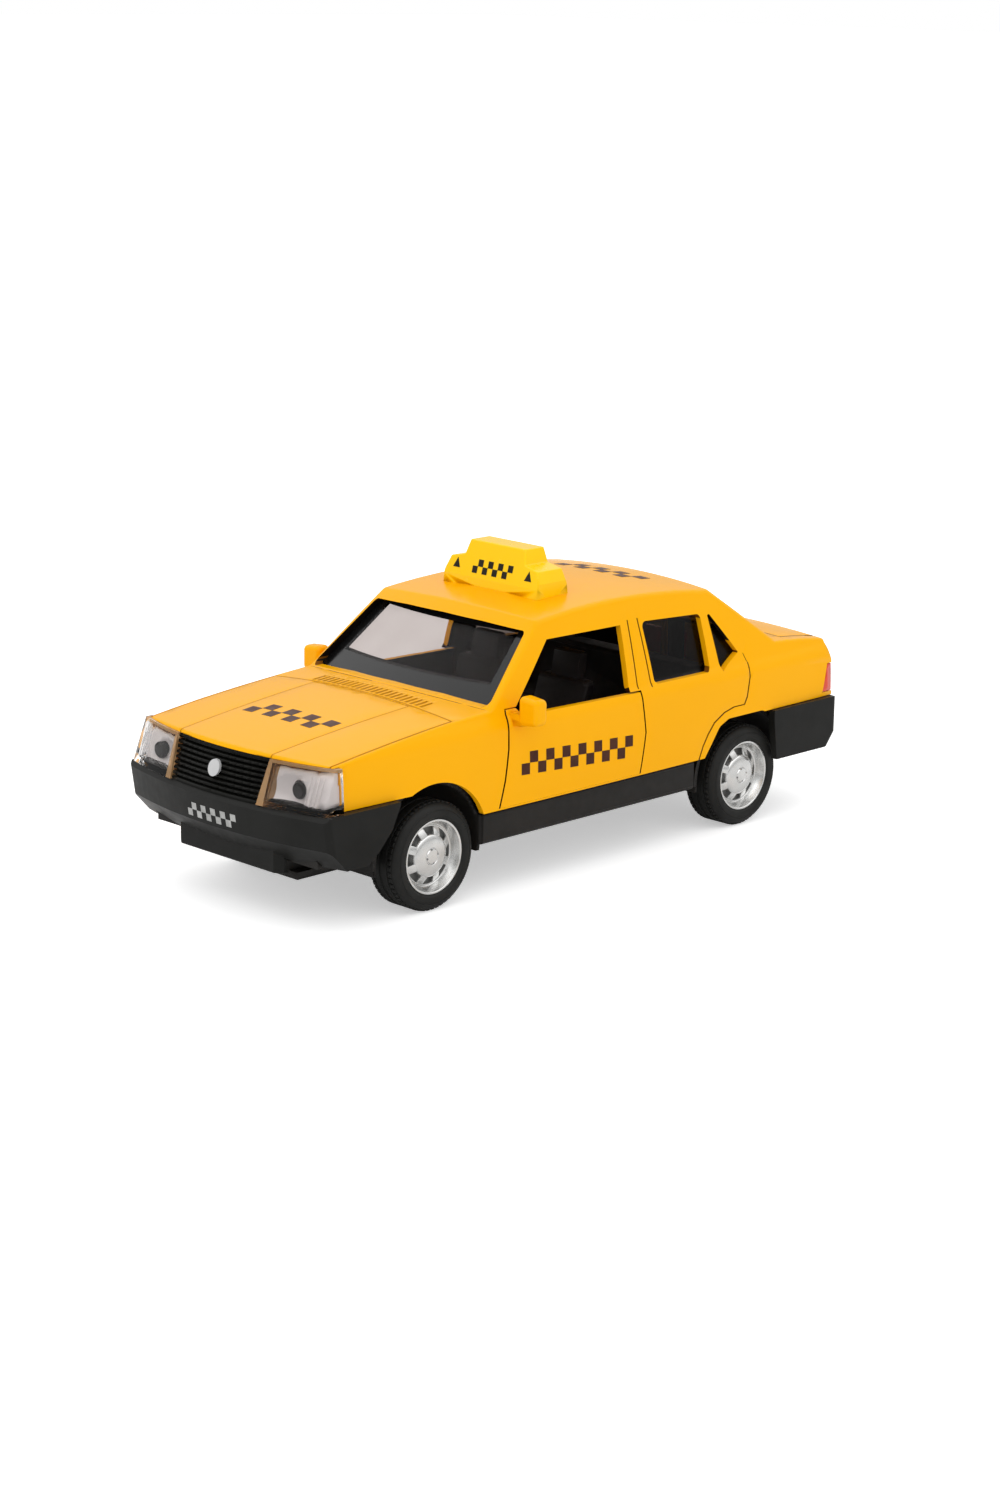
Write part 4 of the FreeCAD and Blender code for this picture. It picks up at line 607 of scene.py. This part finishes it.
def filmOn(name, cells, toWorld, direction, surfaceName, shade, body):
    # Each cell is a list of corners in the print's own plane, split finely and laid down as a closed slab.
    work = bmesh.new()
    steps = film["steps"]
    for cell in cells:
        patches = [tuple(Vector(corner) for corner in cell)]
        if len(cell) == 4:
            first, second, third, fourth = patches[0]
            grid = [[first.lerp(second, along / steps).lerp(fourth.lerp(third, along / steps), up / steps)
                     for along in range(steps + 1)] for up in range(steps + 1)]
            patches = [(grid[up][along], grid[up][along + 1], grid[up + 1][along + 1], grid[up + 1][along])
                       for up in range(steps) for along in range(steps)]
        for patch in patches:
            work.faces.new([work.verts.new((corner.x, corner.y, 0)) for corner in patch])
    bmesh.ops.remove_doubles(work, verts=work.verts, dist=film["weld"])
    bmesh.ops.solidify(work, geom=work.faces[:], thickness=-film["slab"])
    for vert in work.verts:
        below = abs(vert.co.z) > film["slab"] / 2
        start = toWorld(vert.co.x, vert.co.y) * mm
        hit = surfaces[surfaceName].ray_cast(start, direction)[0]
        vert.co = hit - direction * mm * (-film["sink"] if below else film["lift"])
    bmesh.ops.recalc_face_normals(work, faces=work.faces)
    mesh = bpy.data.meshes.new(name)
    work.to_mesh(mesh)
    work.free()
    mesh.materials.append(paint[shade])
    pieceFrom(name, mesh, body)


def checker(strip):
    # Every other square of a strip, as lists of corners about the strip's middle.
    columns, rows, cell = strip["columns"], strip["rows"], strip["cell"]
    starts = [((column - columns / 2) * cell, (row - rows / 2) * cell)
              for column in range(columns) for row in range(rows) if (column + row) % 2 == 0]
    return [[(u, v), (u + cell, v), (u + cell, v + cell), (u, v + cell)] for u, v in starts]


doorPrint = {"columns": 14, "rows": 2, "cell": 1.95, "middleY": -5.0, "middleZ": 21.4, "fall": 0.055}
hoodPrint = {"columns": 8, "rows": 2, "cell": 2.4, "middleY": -48.4}
roofPrint = {"columns": 8, "rows": 2, "cell": 2.4, "middleY": 26.0}
bumperPrint = {"columns": 10, "rows": 2, "cell": 1.2, "middleZ": 17.1}
signPrint = {"columns": 8, "rows": 2, "cell": 1.2, "middleZ": 49.4, "arrowX": 8.7, "arrowHalf": 0.85,
             "arrowFoot": -0.8, "arrowTip": 0.9}

for side, sign in sides.items():
    filmOn(camel(f"door_print_{side}"), checker(doorPrint),
           lambda u, v, sign=sign: Vector((sign * castFrom["side"], doorPrint["middleY"] + u,
                                           doorPrint["middleZ"] + v - doorPrint["fall"] * u)),
           Vector((-sign, 0, 0)), f"door_panel_{side}", "brownInk", f"door_{side}")
for name, strip in (("hoodPrint", hoodPrint), ("roofPrint", roofPrint)):
    filmOn(name, checker(strip),
           lambda u, v, strip=strip: Vector((u, strip["middleY"] + v, castFrom["above"])),
           Vector((0, 0, -1)), "body_shell", "brownInk", "body")
arrows = [[(side * signPrint["arrowX"] - signPrint["arrowHalf"], signPrint["arrowFoot"]),
           (side * signPrint["arrowX"] + signPrint["arrowHalf"], signPrint["arrowFoot"]),
           (side * signPrint["arrowX"], signPrint["arrowTip"])] for side in (-1, 1)]
filmOn("bumperPrint", checker(bumperPrint),
       lambda u, v: Vector((u, castFrom["ahead"], bumperPrint["middleZ"] + v)), Vector((0, 1, 0)),
       "front_bumper", "greyInk", "body")
filmOn("signPrint", checker(signPrint) + arrows,
       lambda u, v: Vector((u, castFrom["ahead"], signPrint["middleZ"] + v)), Vector((0, 1, 0)),
       "roof_sign", "blackInk", "body")
print("prints done")

# Headlamps: a dark plug of painted shade in each bowl's hole, and upright flutes on the outer part of the
# lens.

plugProfile = [(-0.9, 0), (-0.9, 1.3), (0.5, 1.38), (0.78, 1.3), (0.9, 1.1), (0.84, 0.5), (0.84, 0)]
flutes = [[(x - lamp["ribHalf"], -lamp["ribHeight"]), (x + lamp["ribHalf"], -lamp["ribHeight"]),
           (x + lamp["ribHalf"], lamp["ribHeight"]), (x - lamp["ribHalf"], lamp["ribHeight"])]
          for x in (lamp["ribFrom"] + lamp["ribStep"] * number for number in range(lamp["ribs"]))]
for side, sign in sides.items():
    above = Vector((sign * lamp["plugX"], castFrom["ahead"], lamp["plugZ"] + lamp["bowlUp"])) * mm
    bowl = surfaces[f"headlamp_reflector_{side}"].ray_cast(above, Vector((0, 1, 0)))[0]
    spot = Vector((sign * lamp["plugX"] * mm, bowl.y, lamp["plugZ"] * mm))
    plug = placed(lathe("plug", plugProfile, lamp["plugSegments"], ("lampPlug",)),
                  Matrix.Translation(spot) @ Matrix.Rotation(math.radians(-90), 4, "Z"))
    pieceFrom(camel(f"bulb_holder_{side}"), smoothed(plug), "body")
    filmOn(camel(f"lens_flutes_{side}"), flutes,
           lambda u, v, sign=sign: Vector((sign * u, castFrom["ahead"], lamp["ribZ"] + v)),
           Vector((0, 1, 0)), f"headlamp_lens_{side}", "lampClear", "body")
print("headlamps done")

# Floor, light and camera.

studio = {"floorReach": 6.0, "floorGlow": 0.45, "worldShade": (1.0, 1.0, 1.0), "worldLight": 1.0,
          "mirroredFrom": 0.0, "mirroredTo": 0.9, "mirroredLow": 0.50, "mirroredHigh": 2.2,
          "sunPower": 0.35, "sunSpread": 50, "sunTurn": (28, 12, 0)}
floorMesh = bpy.data.meshes.new("floor")
reach = studio["floorReach"]
floorMesh.from_pydata([(-reach, -reach, 0), (reach, -reach, 0), (reach, reach, 0), (-reach, reach, 0)], [],
                      [(0, 1, 2, 3)])
floor = bpy.data.objects.new("floor", floorMesh)
scene.collection.objects.link(floor)
paleFloor = makeFinish("paleFloor", {"colour": (0.94, 0.94, 0.94), "shade": (0.93, 0.93, 0.93),
                                     "patch": 0.002, "rough": (0.8, 0.9), "grain": 0.2, "bump": 0.02,
                                     "sockets": {"Specular IOR Level": 0.0, "Emission Color": (1, 1, 1, 1)}})
floorMesh.materials.append(paleFloor)

# The floor's own glow is seen by the camera only, so that it lights nothing from below.
floorTree = paleFloor.node_tree
floorRay = addNode(floorTree, "ShaderNodeLightPath")
glow = addNode(floorTree, "ShaderNodeMath", operation="MULTIPLY")
glow.inputs[1].default_value = studio["floorGlow"]
floorTree.links.new(floorRay.outputs["Is Camera Ray"], glow.inputs[0])
floorTree.links.new(glow.outputs["Value"], floorTree.nodes["Principled BSDF"].inputs["Emission Strength"])

world = bpy.data.worlds.new("studio")
scene.world = world
world.use_nodes = True
surround = world.node_tree
plain = surround.nodes["Background"]
plain.inputs["Color"].default_value = (*studio["worldShade"], 1)
plain.inputs["Strength"].default_value = studio["worldLight"]

# Glossy rays see a room that is darker near the floor and brighter overhead.
rayKind = addNode(surround, "ShaderNodeLightPath")
direction = addNode(surround, "ShaderNodeTexCoord")
height = addNode(surround, "ShaderNodeSeparateXYZ")
surround.links.new(direction.outputs["Generated"], height.inputs["Vector"])
rise = addNode(surround, "ShaderNodeMapRange", interpolation_type="SMOOTHSTEP")
for socket, value in zip(("From Min", "From Max", "To Min", "To Max"),
                         (studio["mirroredFrom"], studio["mirroredTo"], studio["mirroredLow"],
                          studio["mirroredHigh"])):
    rise.inputs[socket].default_value = value
surround.links.new(height.outputs["Z"], rise.inputs["Value"])
mirrored = addNode(surround, "ShaderNodeBackground")
mirrored.inputs["Color"].default_value = (*studio["worldShade"], 1)
surround.links.new(rise.outputs["Result"], mirrored.inputs["Strength"])
choice = addNode(surround, "ShaderNodeMixShader")
surround.links.new(rayKind.outputs["Is Glossy Ray"], choice.inputs[0])
surround.links.new(plain.outputs["Background"], choice.inputs[1])
surround.links.new(mirrored.outputs["Background"], choice.inputs[2])
surround.links.new(choice.outputs["Shader"], surround.nodes["World Output"].inputs["Surface"])

sunData = bpy.data.lights.new("softSun", "SUN")
sunData.energy = studio["sunPower"]
sunData.angle = math.radians(studio["sunSpread"])
sun = bpy.data.objects.new("softSun", sunData)
scene.collection.objects.link(sun)
sun.rotation_euler = [math.radians(turn) for turn in studio["sunTurn"]]

cameraSetup = {"place": (0.3664, -0.3719, 0.1516), "azimuth": 44.52, "elevation": 14.49, "roll": 1.03,
               "lens": 73.25, "sensor": 36.0}


def cameraTurn(setup):
    azimuth, elevation, roll = (math.radians(setup[key]) for key in ("azimuth", "elevation", "roll"))
    back = Vector((math.sin(azimuth) * math.cos(elevation), -math.cos(azimuth) * math.cos(elevation),
                   math.sin(elevation)))
    right = Vector((math.cos(azimuth), math.sin(azimuth), 0))
    up = back.cross(right)
    turnedRight = right * math.cos(roll) + up * math.sin(roll)
    turnedUp = up * math.cos(roll) - right * math.sin(roll)
    return Matrix((turnedRight, turnedUp, back)).transposed()


cameraData = bpy.data.cameras.new("camera")
cameraData.lens = cameraSetup["lens"]
cameraData.sensor_width = cameraSetup["sensor"]
cameraData.clip_start = 0.01
camera = bpy.data.objects.new("camera", cameraData)
scene.collection.objects.link(camera)
camera.matrix_world = Matrix.Translation(cameraSetup["place"]) @ cameraTurn(cameraSetup).to_4x4()
scene.camera = camera
scene.view_settings.view_transform = "Standard"
print("studio ready")
